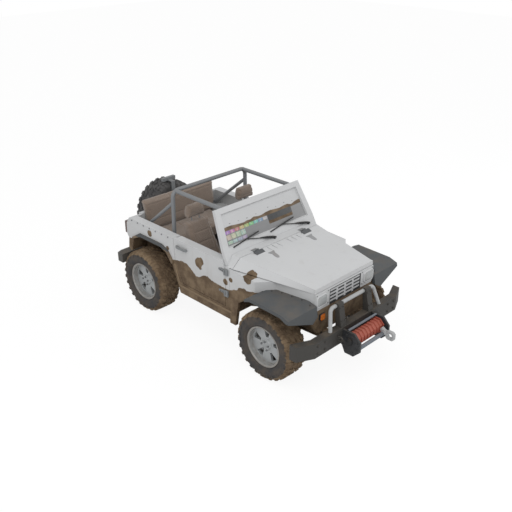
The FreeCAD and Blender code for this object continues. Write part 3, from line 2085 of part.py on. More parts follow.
def make_bull_bar():
    """A bent tube that stands on the bumper and passes ahead of the uprights."""
    lean = math.radians(SHEET.get("bar_lean_degrees"))
    foot = float(of("bumper_top") + of("seat_gap"))
    rise = float(of("bar_top")) - foot
    foot_y = float(front("bar_foot_f"))
    top_y = foot_y + rise * math.tan(lean)
    tube = bent_tube(
        "bar_tube",
        [
            (-of("bar_foot_half"), foot_y, foot - 30),
            (-of("bar_top_half"), top_y, of("bar_top")),
            (of("bar_top_half"), top_y, of("bar_top")),
            (of("bar_foot_half"), foot_y, foot - 30),
        ],
        of("bar_radius"),
        of("bar_bend"),
    )
    gap = float(of("seat_gap"))
    cuts = [
        block(
            "bar_trim_foot",
            (-of("bumper_half"), front("bumper_front_f") - 50, of("bumper_bottom")),
            (of("bumper_half"), front("bumper_back_f") + 50, of("bumper_top") + gap),
        )
    ]
    for label, side in (("right", -1), ("left", 1)):
        middle = side * of("upright_x")
        half = of("upright_half") + gap
        notch = new_body("bar_notch_" + label)
        pad(
            notch,
            "side",
            middle - half,
            middle + half,
            [
                [
                    (front("bumper_front_f") + 10 - gap, of("bumper_top") - 1),
                    (front("upright_top_front_f") - gap, of("upright_top") + gap),
                    (front("upright_top_back_f") + gap, of("upright_top") + gap),
                    (front("bumper_back_f") + gap, of("bumper_top") - 1),
                ]
            ],
        )
        cuts.append(notch)
    return cut_from("bull_bar", tube, fused("bar_trims", cuts))


def make_winch_frame():
    """Two eight-sided end plates joined by tie bars, bolted to the bumper's face."""
    centre_y = front("winch_f")
    centre_z = of("winch_z")
    radius = of("winch_radius")
    back = front("bumper_front_f") - of("seat_gap")
    plate = new_body("winch_plate_right")
    side = radius * math.tan(math.pi / 8)
    ring = [
        (centre_y - side, centre_z - radius),
        (centre_y + side, centre_z - radius),
        (back, centre_z - side),
        (back, centre_z + radius),
        (centre_y - side, centre_z + radius),
        (centre_y - radius, centre_z + side),
        (centre_y - radius, centre_z - side),
    ]
    start = -of("winch_x") - of("winch_plate") / 2
    pad(plate, "side", start, start + of("winch_plate"), [ring])
    pieces = [plate, mirrored(plate, "winch_plate_left")]
    span = of("winch_x") * 2
    for name, along, up in (
        ("winch_tie_top", centre_y + 45, centre_z + radius - 4),
        ("winch_tie_front", centre_y - radius + 26, centre_z - 20),
        ("winch_tie_back", centre_y + 60, centre_z - radius + 24),
    ):
        pieces.append(rod(name, "x", of("tie_radius"), span, -of("winch_x"), along, up))
    return fused("winch_frame", pieces)


def make_drum():
    """The winch drum: eight-sided, with the layers of rope as ribs between two flanges."""
    body = new_body("winch_drum")
    half = of("drum_half")
    flange = of("drum_flange_thick")
    count = int(SHEET.get("drum_ribs"))
    rope = of("drum_rope")
    pitch = (half * 2 - flange * 2) / count
    pad(body, "side", -half, half, [eight_sided(rope - of("drum_rib_depth"))])
    for i in range(count):
        middle = -half + flange + pitch * (i + 0.5)
        rib = of("drum_rib_width") / 2
        pad(body, "side", middle - rib, middle + rib, [eight_sided(rope)])
    for left in (-half, half - flange):
        pad(body, "side", left, left + flange, [eight_sided(of("drum_flange"))])
    shaft_end = of("winch_x") - of("winch_plate") / 2 - of("seat_gap")
    pad(body, "side", -shaft_end, shaft_end, circles=[(ZERO, ZERO, of("drum_shaft"))])
    move(body, ZERO, front("winch_f"), of("drum_z"))
    return body


def eight_sided(radius):
    """Eight equal sides around the origin, each at this distance."""
    side = radius * math.tan(math.pi / 8)
    return [
        (-side, -radius),
        (side, -radius),
        (radius, -side),
        (radius, side),
        (side, radius),
        (-side, radius),
        (-radius, side),
        (-radius, -side),
    ]


def make_hook():
    """The hook at the end of the winch rope, held flat out ahead of the drum."""
    bar = float(of("hook_bar"))
    radius = float(of("hook_radius")) - bar
    tip_y = float(FRONT_AXLE - FRONT_REACH)
    centre = Vector(float(of("hook_x")), tip_y + radius + bar, float(of("hook_z")))
    rope_y = float(front("winch_f") - of("drum_rope") - of("seat_gap"))
    rope_z = float(of("drum_z"))
    eye = Vector(centre.x, tip_y + radius * 2 + bar + 24, rope_z)
    rope_start = Vector(centre.x, rope_y, rope_z)
    tube = bent_tube("hook_rope", [rope_start, eye + Vector(0, -20, 0)], 8, 1)
    turns = [math.radians(a) for a in range(-60, 181, 20)]
    ring = [
        centre + Vector(0, radius * math.cos(a) * -1, -radius * math.sin(a)) for a in turns
    ]
    pieces = [tube]
    for i, (a, b) in enumerate(zip(ring, ring[1:])):
        piece = DOC.addObject("Part::Feature", f"hook_link_{i}")
        piece.Shape = Part.makeCylinder(bar, (b - a).Length, a, b - a).fuse(Part.makeSphere(bar, b))
        pieces.append(piece)
    shank = DOC.addObject("Part::Feature", "hook_shank")
    shank.Shape = Part.makeCylinder(bar, (eye - ring[0]).Length, eye, ring[0] - eye)
    pieces.append(shank)
    return fused("winch_hook", pieces)


def make_rear_bumper():
    body = new_body("rear_bumper")
    half = of("rear_bumper_half")
    inner = of("wheelhouse_half") - 30
    pad(
        body,
        "top",
        of("rear_bumper_bottom"),
        of("rear_bumper_top"),
        [
            both_sides(
                [
                    (inner, rear("rear_bumper_mid_r")),
                    (inner, rear("rear_bumper_front_r")),
                    (half, rear("rear_bumper_front_r")),
                    (half, rear("rear_bumper_back_r") - 30),
                    (half - 80, rear("rear_bumper_back_r")),
                ]
            )
        ],
    )
    dip = of("rear_dip_half")
    pocket(
        body,
        "front",
        rear("rear_bumper_mid_r") - 10,
        rear("rear_bumper_back_r") + 10,
        [
            both_sides(
                [
                    (dip, of("rear_dip_top")),
                    (dip + 60, of("rear_bumper_top") + 5),
                ]
            )
        ],
    )
    pocket(
        body,
        "top",
        of("rear_bumper_bottom") - 10,
        of("rear_dip_top") + 10,
        circles=[(ZERO, rear("rear_bumper_back_r") - 50, of("tow_radius"))],
    )
    return body


# Tailgate

def make_tailgate():
    body = new_body("tailgate")
    gap = of("panel_gap")
    half = of("gate_half") - gap
    pad(
        body,
        "front",
        rear("gate_front_r"),
        rear("gate_back_r"),
        [rectangle(-half, half, of("gate_bottom") + gap, of("rail_height") + 4)],
    )
    return body


def make_gate_straps():
    """Two straps that reach round from the hinge pins to the tailgate's back."""
    gate = rear("gate_back_r") + of("seat_gap")
    pin_x = -of("gate_hinge_x")
    pin_y = rear("gate_hinge_r")
    half = of("strap_thick")
    straps = []
    for name, middle in (("high", of("gate_hinge_high")), ("low", of("gate_hinge_low"))):
        low = middle - of("gate_hinge_height") / 2 + of("hinge_knuckle") - 4
        high = middle + of("gate_hinge_height") / 2 - of("hinge_knuckle") + 4
        strap = new_body("gate_strap_" + name)
        pad(strap, "top", low, high, circles=[(pin_x, pin_y, of("gate_barrel"))])
        pad(
            strap,
            "top",
            low,
            high,
            [
                [
                    (pin_x, pin_y - half),
                    (pin_x + 28, pin_y - half),
                    (pin_x + 28, gate),
                    (pin_x + of("gate_strap"), gate),
                    (pin_x + of("gate_strap"), gate + half),
                    (pin_x + 70, pin_y + half),
                    (pin_x, pin_y + half),
                ]
            ],
        )
        bore = of("hinge_pin") + of("pin_clear")
        pocket(strap, "top", low - 1, high + 1, circles=[(pin_x, pin_y, bore)])
        straps.append(strap)
    return straps


def make_carrier():
    """The bracket that holds the spare wheel on the tailgate, with the lamp above the tyre."""
    gap = of("seat_gap")
    hub_face = (
        rear("rear_reach")
        - of("tyre_width") / 2
        + of("bead_width") / 2
        - of("disc_inset")
        - of("hub_length")
    )
    gate = rear("gate_back_r") + gap
    plate = new_body("carrier_plate")
    half = of("carrier_half")
    pad(
        plate,
        "front",
        gate,
        gate + of("carrier_plate"),
        [
            cut_corner_square(
                ZERO, of("spare_z"), half, of("carrier_height") / 2, half / 3
            )
        ],
    )
    stub = rod(
        "carrier_stub",
        "y",
        of("spindle_radius"),
        hub_face + of("hub_length") - 34 - gate,
        ZERO,
        gate,
        of("spare_z"),
    )
    strap_width = of("strap_half")
    tyre_front = rear("rear_reach") - of("tyre_width")
    top = of("brake_lamp_top")
    strap = new_body("carrier_strap")
    pad(
        strap,
        "side",
        -strap_width,
        strap_width,
        [
            [
                (gate, of("spare_z")),
                (gate + 12, of("spare_z")),
                (gate + 12, top - 40),
                (tyre_front + 110, top - 40),
                (tyre_front + 110, top - 28),
                (gate, top - 28),
            ]
        ],
    )
    lamp = block(
        "carrier_lamp",
        (-of("brake_lamp_half"), tyre_front + 60, top - 40),
        (of("brake_lamp_half"), tyre_front + 110, top + of("brake_lamp_height") - 40),
    )
    carrier = fused("spare_carrier", [plate, stub, strap, lamp])
    return together("gate_fittings", [carrier] + make_gate_straps())


def make_tail_lamps():
    body = new_body("tail_lamp_right")
    start = rear("tub_back_r") + of("seat_gap")
    middle = -of("tail_x")
    half = of("tail_half")
    pad(
        body,
        "side",
        middle - half,
        middle + half,
        [
            [
                (start, of("tub_back_low") + 4),
                (start + of("tail_depth"), of("tub_back_low") + 4),
                (start + of("tail_depth"), of("tail_top")),
                (start - 8, of("tail_top")),
                (start - 8, of("tub_back_high")),
            ]
        ],
    )
    return [body, mirrored(body, "tail_lamp_left")]


# Cabin

def make_dashboard():
    body = new_body("dashboard")
    gap = of("seat_gap")
    start = front("firewall_f") + of("firewall_thick") + gap
    half = of("cabin_half") - gap
    pad(
        body,
        "side",
        -half,
        half,
        [
            [
                (start, of("dash_low")),
                (start, of("cowl_seat_z")),
                (front("cowl_seat_f"), of("cowl_seat_z") + 4),
                (front("cowl_seat_f") + 14, of("cowl_top") - 3),
                (front("dash_back_f") - 20, of("cowl_top") + 3),
                (front("dash_back_f"), of("cowl_top") - 16),
                (front("dash_back_f") - 20, of("dash_bottom")),
                (front("dash_back_f") - 130, of("dash_bottom")),
            ]
        ],
    )
    return body


def make_steering_wheel(dashboard):
    """A rim, a hub with three arms and the column, which ends at the dashboard's face."""
    rim = DOC.addObject("Part::Torus", "steering_rim")
    bind(rim, "Radius1", of("wheel_radius"))
    bind(rim, "Radius2", of("wheel_rim"))
    hub = DOC.addObject("Part::Cylinder", "steering_hub")
    bind(hub, "Radius", of("column_radius") * 1.6)
    bind(hub, "Height", 40)
    bind(hub, "Placement.Base.z", -20)
    column = DOC.addObject("Part::Cylinder", "steering_column")
    bind(column, "Radius", of("column_radius"))
    bind(column, "Height", of("column_length"))
    bind(column, "Placement.Base.z", -of("column_length"))
    pieces = [rim, hub, column]
    for i, angle in enumerate((90, 210, 330)):
        arm = DOC.addObject("Part::Box", f"steering_arm_{i}")
        bind(arm, "Length", of("wheel_radius"))
        bind(arm, "Width", 26)
        bind(arm, "Height", 12)
        turn_about = math.radians(angle)
        arm.Placement = FreeCAD.Placement(
            Vector(13 * math.sin(turn_about), -13 * math.cos(turn_about), -6),
            FreeCAD.Rotation(Vector(0, 0, 1), angle),
        )
        pieces.append(arm)
    whole = fused("steering_pieces", pieces)
    turn(whole, Vector(1, 0, 0), -of("wheel_tilt_degrees"))
    move(whole, of("wheel_x"), front("wheel_f"), of("wheel_z"))
    return cut_from("steering_wheel", whole, dashboard)


def make_seat(name, middle):
    """A front seat as one plain closed form: cushion, back and headrest."""
    body = new_body(name)
    half = of("seat_half")
    base = of("seat_base") + of("seat_gap")
    top = base + of("seat_cushion")
    thick = of("seat_back_thick")
    back = rear("seat_back_r")
    back_top = rear("seat_back_top_r")
    pad(
        body,
        "side",
        middle - half,
        middle + half,
        [
            [
                (rear("seat_front_r"), base + 20),
                (back - 40, base),
                (back + 20, base + 40),
                (back_top + thick / 2, of("seat_back_top") - 20),
                (back_top, of("seat_back_top")),
                (back_top - thick / 2, of("seat_back_top") - 20),
                (back - thick, top - 10),
                (rear("seat_front_r") + 30, top),
                (rear("seat_front_r"), top - 30),
            ]
        ],
    )
    head = of("headrest_half")
    low = of("seat_back_top") - 1
    high = of("seat_back_top") + of("headrest_gap") + of("headrest_height")
    depth = of("headrest_thick") / 2
    pad(
        body,
        "side",
        middle - head,
        middle + head,
        [
            [
                (back_top - depth * 0.4, low - 20),
                (back_top + depth * 0.4, low - 20),
                (back_top + depth, low + 40),
                (back_top + depth, high - 20),
                (back_top + depth / 2, high),
                (back_top - depth / 2, high),
                (back_top - depth, high - 20),
                (back_top - depth, low + 40),
            ]
        ],
    )
    return body


def make_seat_base(name, middle):
    """The box that stands on the floor under a front seat."""
    inset = 50
    return block(
        name,
        (
            middle - of("seat_half") + inset,
            rear("seat_front_r") + inset,
            of("floor_top") + of("seat_gap"),
        ),
        (middle + of("seat_half") - inset, rear("seat_back_r") - inset, of("seat_base")),
    )


def make_bench():
    """The rear bench as one plain closed form between and above the wheel houses."""
    body = new_body("rear_bench")
    half = of("bench_half")
    gap = of("seat_gap")
    base = of("floor_top") + gap
    house_top = of("arch_top") + of("wheelhouse_wall") + gap
    pad(
        body,
        "side",
        -half,
        half,
        [
            [
                (rear("bench_front_r") + 60, base),
                (rear("bench_foot_r") + 20, base),
                (rear("bench_foot_r") + of("bench_thick"), of("bench_seat_top")),
                (rear("bench_foot_r") + of("bench_thick"), house_top + 20),
                (rear("bench_foot_r"), house_top + 20),
                (rear("bench_foot_r"), of("bench_seat_top")),
                (rear("bench_front_r") + 20, of("bench_seat_top")),
                (rear("bench_front_r"), of("bench_seat_top") - of("bench_seat_thick") / 3),
                (rear("bench_front_r"), of("bench_seat_top") - of("bench_seat_thick")),
            ]
        ],
    )
    wide = of("bench_back_half")
    pad(
        body,
        "side",
        -wide,
        wide,
        [
            [
                (rear("bench_foot_r"), house_top),
                (rear("bench_foot_r") + of("bench_thick"), house_top),
                (rear("gate_front_r") - 12, of("rail_height")),
                (rear("bench_top_r"), of("bench_top") - 20),
                (rear("bench_top_r") - 20, of("bench_top")),
                (rear("bench_brow_r") + 40, of("bench_top")),
                (rear("bench_brow_r"), of("bench_brow_z")),
            ]
        ],
    )
    corner = [
        (wide + 1, of("bench_top") - of("bench_corner")),
        (wide + 1, of("bench_top") + 1),
        (wide - of("bench_corner"), of("bench_top") + 1),
    ]
    pocket(
        body,
        "front",
        rear("bench_foot_r"),
        rear("bench_top_r") + 1,
        [corner, [(-a, b) for a, b in corner]],
    )
    return body


def make_wipers():
    """Two wipers: a boss on the cowl, a bent arm, and a blade low on the windscreen."""
    radius = of("wiper_radius")
    lean = math.radians(SHEET.get("screen_lean_degrees"))
    out = float(of("wiper_out"))
    rise = float(of("hood_back_top") + of("seat_gap") - of("screen_foot_z"))
    low = (rise - out * math.sin(lean)) / math.cos(lean)
    upright = Vector(0, -math.sin(lean), math.cos(lean))
    clear = of("wiper_clear")
    near = float(clear + radius * 1.5)
    reach = of("wiper_reach")
    blade_length = of("wiper_blade")
    boss_height = float(of("wiper_boss"))
    elbow_rise = float(of("wiper_elbow_rise"))
    tilt = math.radians(SHEET.get("wiper_tilt_degrees"))
    arms = []
    for name, pivot in (("left", of("wiper_left")), ("right", of("wiper_right"))):
        base = Vector(float(pivot), -out, low)
        boss = bent_tube("wiper_boss_" + name, [base, base + upright * boss_height], radius * 2, 1)
        elbow = base + Vector(-float(of("wiper_elbow_side")), out - near, elbow_rise)
        shoulder = base + upright * (boss_height - float(radius) * 1.4)
        middle = Vector(base.x - float(reach), -near, low + float(of("wiper_rise")))
        bend = of("wiper_bend")
        arm = bent_tube("wiper_arm_" + name, [shoulder, elbow, middle], radius * 0.8, bend)
        blade = DOC.addObject("Part::Box", "wiper_blade_" + name)
        bind(blade, "Length", blade_length)
        bind(blade, "Width", radius * 1.5)
        bind(blade, "Height", radius * 2)
        turn(blade, Vector(0, 1, 0), -of("wiper_tilt_degrees"))
        move(
            blade,
            pivot - reach - blade_length * (math.cos(tilt) / 2),
            -clear - radius * 1.5,
            as_size(middle.z) - radius - blade_length * (math.sin(tilt) / 2),
        )
        arms.append(fused("wiper_" + name, [boss, arm, blade]))
    pair = together("wipers", arms)
    lean_on_cowl(pair)
    return pair


def check_objects(nodes):
    """Stops if any object failed or any piece is not a sound closed shape."""
    for item in DOC.Objects:
        if "Invalid" in item.State or "Error" in item.State:
            raise RuntimeError(f"{item.Label} failed: {item.State}")
    for node in nodes:
        shape = node.Shape
        if shape.isNull() or not shape.isValid() or not shape.Solids:
            raise RuntimeError(f"{node.Label} is not a sound solid")


def main():
    knuckle = make_knuckle()
    door = make_door()
    fittings = make_door_hardware()
    dashboard = make_dashboard()
    springs = make_spring_pair("front_spring", FRONT_AXLE)
    springs += make_spring_pair("rear_spring", REAR_AXLE)
    bases = [
        make_seat_base("seat_base_right", -of("seat_x")),
        make_seat_base("seat_base_left", of("seat_x")),
    ]
    nodes = make_wheels() + make_spare()
    nodes += [
        make_frame(),
        make_front_axle(),
        make_rear_axle(),
        knuckle,
        mirrored(knuckle, "knuckle_left"),
        together("leaf_springs", springs),
        make_engine(),
        make_gearbox(),
        make_tank(),
        make_tub(),
        door,
        mirrored(door, "door_left"),
        fittings,
        mirrored(fittings, "door_fittings_left"),
        make_hinge_leaves(),
        make_wing(),
        make_shell(),
        make_grille(),
        make_headlamps(),
        together("marker_lamps", make_signals() + make_tail_lamps()),
        make_hood(),
        make_front_flare(),
        make_rear_flare(),
        make_screen(),
        make_glass(),
        make_wipers(),
        make_cage(),
        make_front_bumper(),
        make_bull_bar(),
        make_winch_frame(),
        make_drum(),
        make_hook(),
        make_rear_bumper(),
        make_tailgate(),
        make_carrier(),
        dashboard,
        make_steering_wheel(dashboard),
        make_seat("seat_front_right", -of("seat_x")),
        make_seat("seat_front_left", of("seat_x")),
        together("seat_bases", bases),
        make_bench(),
    ]
    DOC.recompute()
    check_objects(nodes)
    os.makedirs("parts", exist_ok=True)
    for node in nodes:
        node.Shape.exportStep(f"parts/{node.Label}.step")
    print(len(nodes), "pieces")


main()
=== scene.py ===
"""The looks of an open 4x4 car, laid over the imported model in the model's own frame.

The front faces -Y, +X is the car's left side and +Z is up. Lengths are in metres.
"""

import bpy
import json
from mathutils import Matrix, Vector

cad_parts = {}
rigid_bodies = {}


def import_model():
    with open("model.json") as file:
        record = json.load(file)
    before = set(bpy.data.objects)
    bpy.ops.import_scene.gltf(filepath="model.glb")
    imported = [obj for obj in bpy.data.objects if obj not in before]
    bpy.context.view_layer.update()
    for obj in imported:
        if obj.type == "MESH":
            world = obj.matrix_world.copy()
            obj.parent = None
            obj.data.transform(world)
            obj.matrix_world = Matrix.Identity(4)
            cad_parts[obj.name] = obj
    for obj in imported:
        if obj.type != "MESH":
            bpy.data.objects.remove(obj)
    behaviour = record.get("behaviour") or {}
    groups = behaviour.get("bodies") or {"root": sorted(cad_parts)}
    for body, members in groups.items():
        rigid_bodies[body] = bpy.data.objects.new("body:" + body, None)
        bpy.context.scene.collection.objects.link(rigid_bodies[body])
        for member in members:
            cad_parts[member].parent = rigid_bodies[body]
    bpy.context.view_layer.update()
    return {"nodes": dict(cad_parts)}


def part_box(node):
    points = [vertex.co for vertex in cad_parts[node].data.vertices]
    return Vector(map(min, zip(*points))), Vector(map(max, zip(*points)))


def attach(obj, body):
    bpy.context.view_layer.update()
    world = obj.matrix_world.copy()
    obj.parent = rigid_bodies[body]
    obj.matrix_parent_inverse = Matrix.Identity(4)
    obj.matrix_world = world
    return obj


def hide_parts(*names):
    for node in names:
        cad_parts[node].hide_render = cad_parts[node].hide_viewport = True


bl_info = {
    "name": "Open 4x4 car",
    "version": (1, 0, 0),
    "blender": (4, 5, 0),
    "location": "View3D > Sidebar > Open car",
    "description": "Dresses the packed model of an open 4x4 car with paint, mud, cloth and trim",
    "category": "Object",
}

import json
import math

import bmesh
import bpy
from bpy.props import FloatProperty, FloatVectorProperty, IntProperty, PointerProperty
from mathutils import Matrix, Vector

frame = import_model()
NODES = frame["nodes"]


def tint(red, green, blue):
    """A colour written as 0 to 255, made linear."""
    parts = []
    for part in (red, green, blue):
        part /= 255
        parts.append(part / 12.92 if part <= 0.04045 else ((part + 0.055) / 1.055) ** 2.4)
    return tuple(parts)


def middle(node):
    """The middle of a node's box."""
    low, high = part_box(node)
    return (Vector(low) + Vector(high)) / 2


# The windscreen's own frame, from its foot: X across, Y up the pane and Z outwards
SCREEN_LEAN = math.radians(27)
SCREEN = Matrix(
    (
        (1, 0, 0, 0),
        (0, math.sin(SCREEN_LEAN), -math.cos(SCREEN_LEAN), -0.3175),
        (0, math.cos(SCREEN_LEAN), math.sin(SCREEN_LEAN), 1.228),
        (0, 0, 0, 1),
    )
)
# The pane's outer face in that frame, and the height of the pane's foot over the floor
PANE = -0.0188
PANE_FOOT = 1.2194
STICKER_START = 0.688
STICKER_PITCH = 0.081

# Places on the car: (along, up) for the rear axle and for the front and back of the hood's top
REAR_AXLE = (1.165, 0.441)
HOOD_FRONT = (-1.4175, 1.2255)
HOOD_BACK = (-0.4105, 1.3215)
HOOD_SLOPE = 0.0993
CABIN_HALF_WIDTH = 0.7155
CABIN_FRONT = -0.30
CABIN_BACK = 1.603
RAIL_TOP = 1.262
GRILLE_FACE = -1.4530


# Sizes and colours that a user would change


def colour(name, description, *value):
    return FloatVectorProperty(
        name=name,
        description=description,
        subtype="COLOR",
        size=3,
        min=0,
        max=1,
        default=tint(*value),
    )


def length(name, description, value):
    return FloatProperty(name=name, description=description, default=value, min=0, unit="LENGTH")


class OpenCarColours(bpy.types.PropertyGroup):
    """The colours of the car."""

    paint: colour("Paint", "Body panels", 202, 203, 204)
    mud_dark: colour("Wet mud", "Mud low on the body", 86, 68, 51)
    mud_pale: colour("Dry mud", "Mud on treads and where it has dried", 130, 111, 88)
    flare: colour("Flares", "Moulded wheel arch flares", 78, 81, 83)
    bumper: colour("Bumpers", "Coated steel bumpers", 62, 60, 57)
    tube: colour("Bull bar", "Bull bar tube", 172, 174, 175)
    cage: colour("Cage", "Roll cage tube", 128, 131, 134)
    fitting: colour("Fittings", "Hinges and handles", 128, 131, 133)
    rubber: colour("Rubber", "Tyre sidewalls and seals", 58, 57, 58)
    rim: colour("Rims", "Wheel rims", 178, 181, 182)
    cloth: colour("Seats", "Seat cloth", 128, 112, 99)
    drum: colour("Drum", "Winch drum", 168, 84, 68)
    steel: colour("Steel", "Winch tie bars", 108, 115, 124)
    black: colour("Black", "Moulded black parts", 38, 39, 41)
    chassis: colour("Chassis", "Frame paint", 46, 45, 44)
    iron: colour("Castings", "Axle castings", 74, 70, 66)
    signal: colour("Signals", "Turn signal lens", 226, 120, 40)
    tail: colour("Tail lamps", "Tail lamp lens under its dust", 84, 56, 48)
    cabin: colour("Cabin", "The tub's lining", 180, 181, 181)


class OpenCarSizes(bpy.types.PropertyGroup):
    """The sizes of what is laid over the model."""

    lugs: IntProperty(name="Lugs", description="Lugs in one row of the tread", default=26, min=8)
    lug_depth: length("Lug depth", "How far the lugs stand above the tread's floor", 0.015)
    pad_cap: length("Pad growth", "The furthest that a pad's cover may swell", 0.024)
    voxel: length("Pad mesh", "The mesh size of a pad's cover", 0.010)


# Shader maths


def pair_method(operation, swapped=False):
    """A method that puts a wire and another value through one maths node."""

    def method(self, other):
        pair = (other, self) if swapped else (self, other)
        return self.maths(operation, *pair)

    return method


def lone_method(operation):
    """A method that puts a wire alone through one maths node."""
    return lambda self: self.maths(operation, self)


class Wire:
    """A node's output that can stand in a sum."""

    def __init__(self, finish, socket):
        self.finish = finish
        self.socket = socket

    def maths(self, operation, *values):
        return self.finish.node("ShaderNodeMath", {"operation": operation}, values)

    __add__ = __radd__ = pair_method("ADD")
    __sub__ = pair_method("SUBTRACT")
    __rsub__ = pair_method("SUBTRACT", swapped=True)
    __mul__ = __rmul__ = pair_method("MULTIPLY")
    __truediv__ = pair_method("DIVIDE")
    __gt__ = pair_method("GREATER_THAN")
    __lt__ = pair_method("LESS_THAN")
    __or__ = pair_method("MAXIMUM")
    __and__ = pair_method("MINIMUM")
    __abs__ = lone_method("ABSOLUTE")
    root = lone_method("SQRT")
    floor = lone_method("FLOOR")
    fraction = lone_method("FRACT")
    sine = lone_method("SINE")

    def __neg__(self):
        return self * -1.0

    def fade(self, low, high):
        """0 below low, 1 above high and smooth between."""
        settings = {"interpolation_type": "SMOOTHSTEP"}
        values = {"Value": self, "From Min": low, "From Max": high}
        return self.finish.node("ShaderNodeMapRange", settings, values)


class Finish:
    """One procedural material, built node by node."""

    def __init__(self, name, constants=()):
        self.material = bpy.data.materials.new(name)
        self.material.use_nodes = True
        self.tree = self.material.node_tree
        self.shader = self.tree.nodes["Principled BSDF"]
        for socket, value in dict(constants).items():
            self.shader.inputs[socket].default_value = value
        place = self.tree.nodes.new("ShaderNodeTexCoord")
        self.place = Wire(self, place.outputs["Object"])
        split = self.node("ShaderNodeSeparateXYZ", {}, [self.place])
        outputs = split.socket.node.outputs
        self.x, self.y, self.z = (Wire(self, outputs[axis]) for axis in "XYZ")

    def node(self, kind, settings=(), values=(), output=0):
        """A node with its settings made first, then its sockets set or linked."""
        new = self.tree.nodes.new(kind)
        for key, value in dict(settings).items():
            setattr(new, key, value)
        pairs = values.items() if isinstance(values, dict) else enumerate(values)
        for key, value in pairs:
            if isinstance(value, Wire):
                self.tree.links.new(value.socket, new.inputs[key])
            else:
                new.inputs[key].default_value = value
        return Wire(self, new.outputs[output])

    def noise(self, scale, detail=2.0, rough=0.5, place=None):
        place = place or self.place
        values = {"Vector": place, "Scale": scale, "Detail": detail, "Roughness": rough}
        return self.node("ShaderNodeTexNoise", {}, values)

    def cells(self, scale, feature="F1"):
        values = {"Vector": self.place, "Scale": scale}
        return self.node("ShaderNodeTexVoronoi", {"feature": feature}, values)

    def vectors(self, operation, first, second, output=0):
        settings = {"operation": operation}
        return self.node("ShaderNodeVectorMath", settings, [first, second], output)

    def stretched(self, across, along, up):
        """The place with each direction stretched, for grain that runs one way."""
        return self.vectors("MULTIPLY", self.place, (across, along, up))

    def mix(self, share, first, second):
        values = {0: share, 6: full(first), 7: full(second)}
        return self.node("ShaderNodeMix", {"data_type": "RGBA"}, values, output=2)

    def varied(self, share, base, darker, paler):
        """One colour that runs from darker to paler."""
        return self.mix(share, shade(base, darker), shade(base, paler))

    def ramp(self, value, stops):
        """A grey ramp through (place, height) stops."""
        wire = self.node("ShaderNodeValToRGB", {}, [value])
        ramp = wire.socket.node.color_ramp
        while len(ramp.elements) < len(stops):
            ramp.elements.new(1.0)
        for element, (at, height) in zip(ramp.elements, stops):
            element.position = at
            element.color = (height, height, height, 1.0)
        return wire

    def facing(self, x=0.0, y=0.0, z=0.0):
        """How far the surface faces a direction, from -1 to 1."""
        normal = self.node("ShaderNodeNewGeometry", output=3)
        return self.vectors("DOT_PRODUCT", normal, (x, y, z), output=1)

    def side(self):
        """1 on the car's left side and -1 on its right side."""
        return (self.x > 0.0) * 2.0 - 1.0

    def rounded(self, radius):
        """The normal with each edge rounded off."""
        return self.node("ShaderNodeBevel", {"samples": 4}, {"Radius": radius})

    def edges(self, rounded):
        """1 along the edges and 0 on the flats."""
        normal = self.node("ShaderNodeNewGeometry", output=1)
        same = self.vectors("DOT_PRODUCT", normal, rounded, output=1)
        return (1.0 - same).fade(0.01, 0.16)

    def set(self, colour, roughness=None, height=None, depth=0.001, normal=None):
        """Links what changes over the surface to the shader."""
        self.feed("Base Color", colour)
        if roughness is not None:
            self.feed("Roughness", roughness)
        if height is not None:
            values = {"Height": height, "Distance": depth, "Strength": 1.0}
            if normal is not None:
                values["Normal"] = normal
            normal = self.node("ShaderNodeBump", {}, values)
        if normal is not None:
            self.feed("Normal", normal)
        return self.material

    def feed(self, socket, value):
        if isinstance(value, Wire):
            self.tree.links.new(value.socket, self.shader.inputs[socket])
        else:
            self.shader.inputs[socket].default_value = full(value)


def full(value):
    """A colour with its alpha, or the value as it is."""
    if isinstance(value, (Wire, float, int)):
        return value
    return (*value[:3], 1.0)


def shade(colour, by):
    """A darker or paler colour."""
    return tuple(min(1.0, part * by) for part in colour[:3])


def colours():
    return bpy.context.scene.open_car_colours


def sizes():
    return bpy.context.scene.open_car_sizes


# Mud

# The top of the mud along the right side: the place along the car and the height
MUD_LOW = 0.8
MUD_SPAN = 0.3
MUD_LINE = (
    (-1.10, 1.050), (-0.77, 1.049), (-0.66, 1.022), (-0.61, 1.037), (-0.52, 1.010), (-0.49, 0.969),
    (-0.33, 0.907), (-0.21, 0.914), (-0.03, 0.928), (0.045, 0.956), (0.12, 0.942), (0.20, 0.884),
    (0.255, 0.877), (0.42, 0.985), (0.54, 0.994), (0.72, 0.949), (0.90, 0.935), (1.57, 1.015),
    (1.61, 0.968), (1.70, 0.955),
)
# Splashes on the right side: the place along the car, the height and the radius
SPLASHES = (
    (0.205, 1.080, 0.064), (0.160, 1.120, 0.052), (0.190, 1.100, 0.060), (0.180, 1.030, 0.030),
    (-0.668, 1.180, 0.062), (-0.640, 1.205, 0.045), (-0.287, 1.004, 0.040), (-0.384, 1.065, 0.032),
    (1.190, 1.172, 0.045), (0.817, 1.083, 0.030),
)
FRONT_MUD = 0.905
# Where the body's outer sides and back begin, and the edges of its liners and rear wheel arches
TUB_SIDE = 0.792
TUB_BACK = 1.605
FRONT_PANEL = -1.44
LINER_TOP, LINER_BACK, LINER_SIDE = 0.945, -0.44, 0.82
ARCH_TOP, ARCH_FRONT, ARCH_INNER, ARCH_OUTER = 1.062, 0.45, 0.585, 0.83


def mud_tone(finish, paler=1.0):
    """Dried mud: two browns in patches, with grit."""
    pale = shade(colours().mud_pale, paler)
    patches = finish.noise(7, 4, 0.6).fade(0.35, 0.68)
    grit = finish.noise(140, 3, 0.7).fade(0.3, 0.75)
    base = finish.mix(patches, shade(colours().mud_dark, 0.86), shade(pale, 0.9))
    return finish.mix(grit * 0.45, base, shade(pale, 1.15))


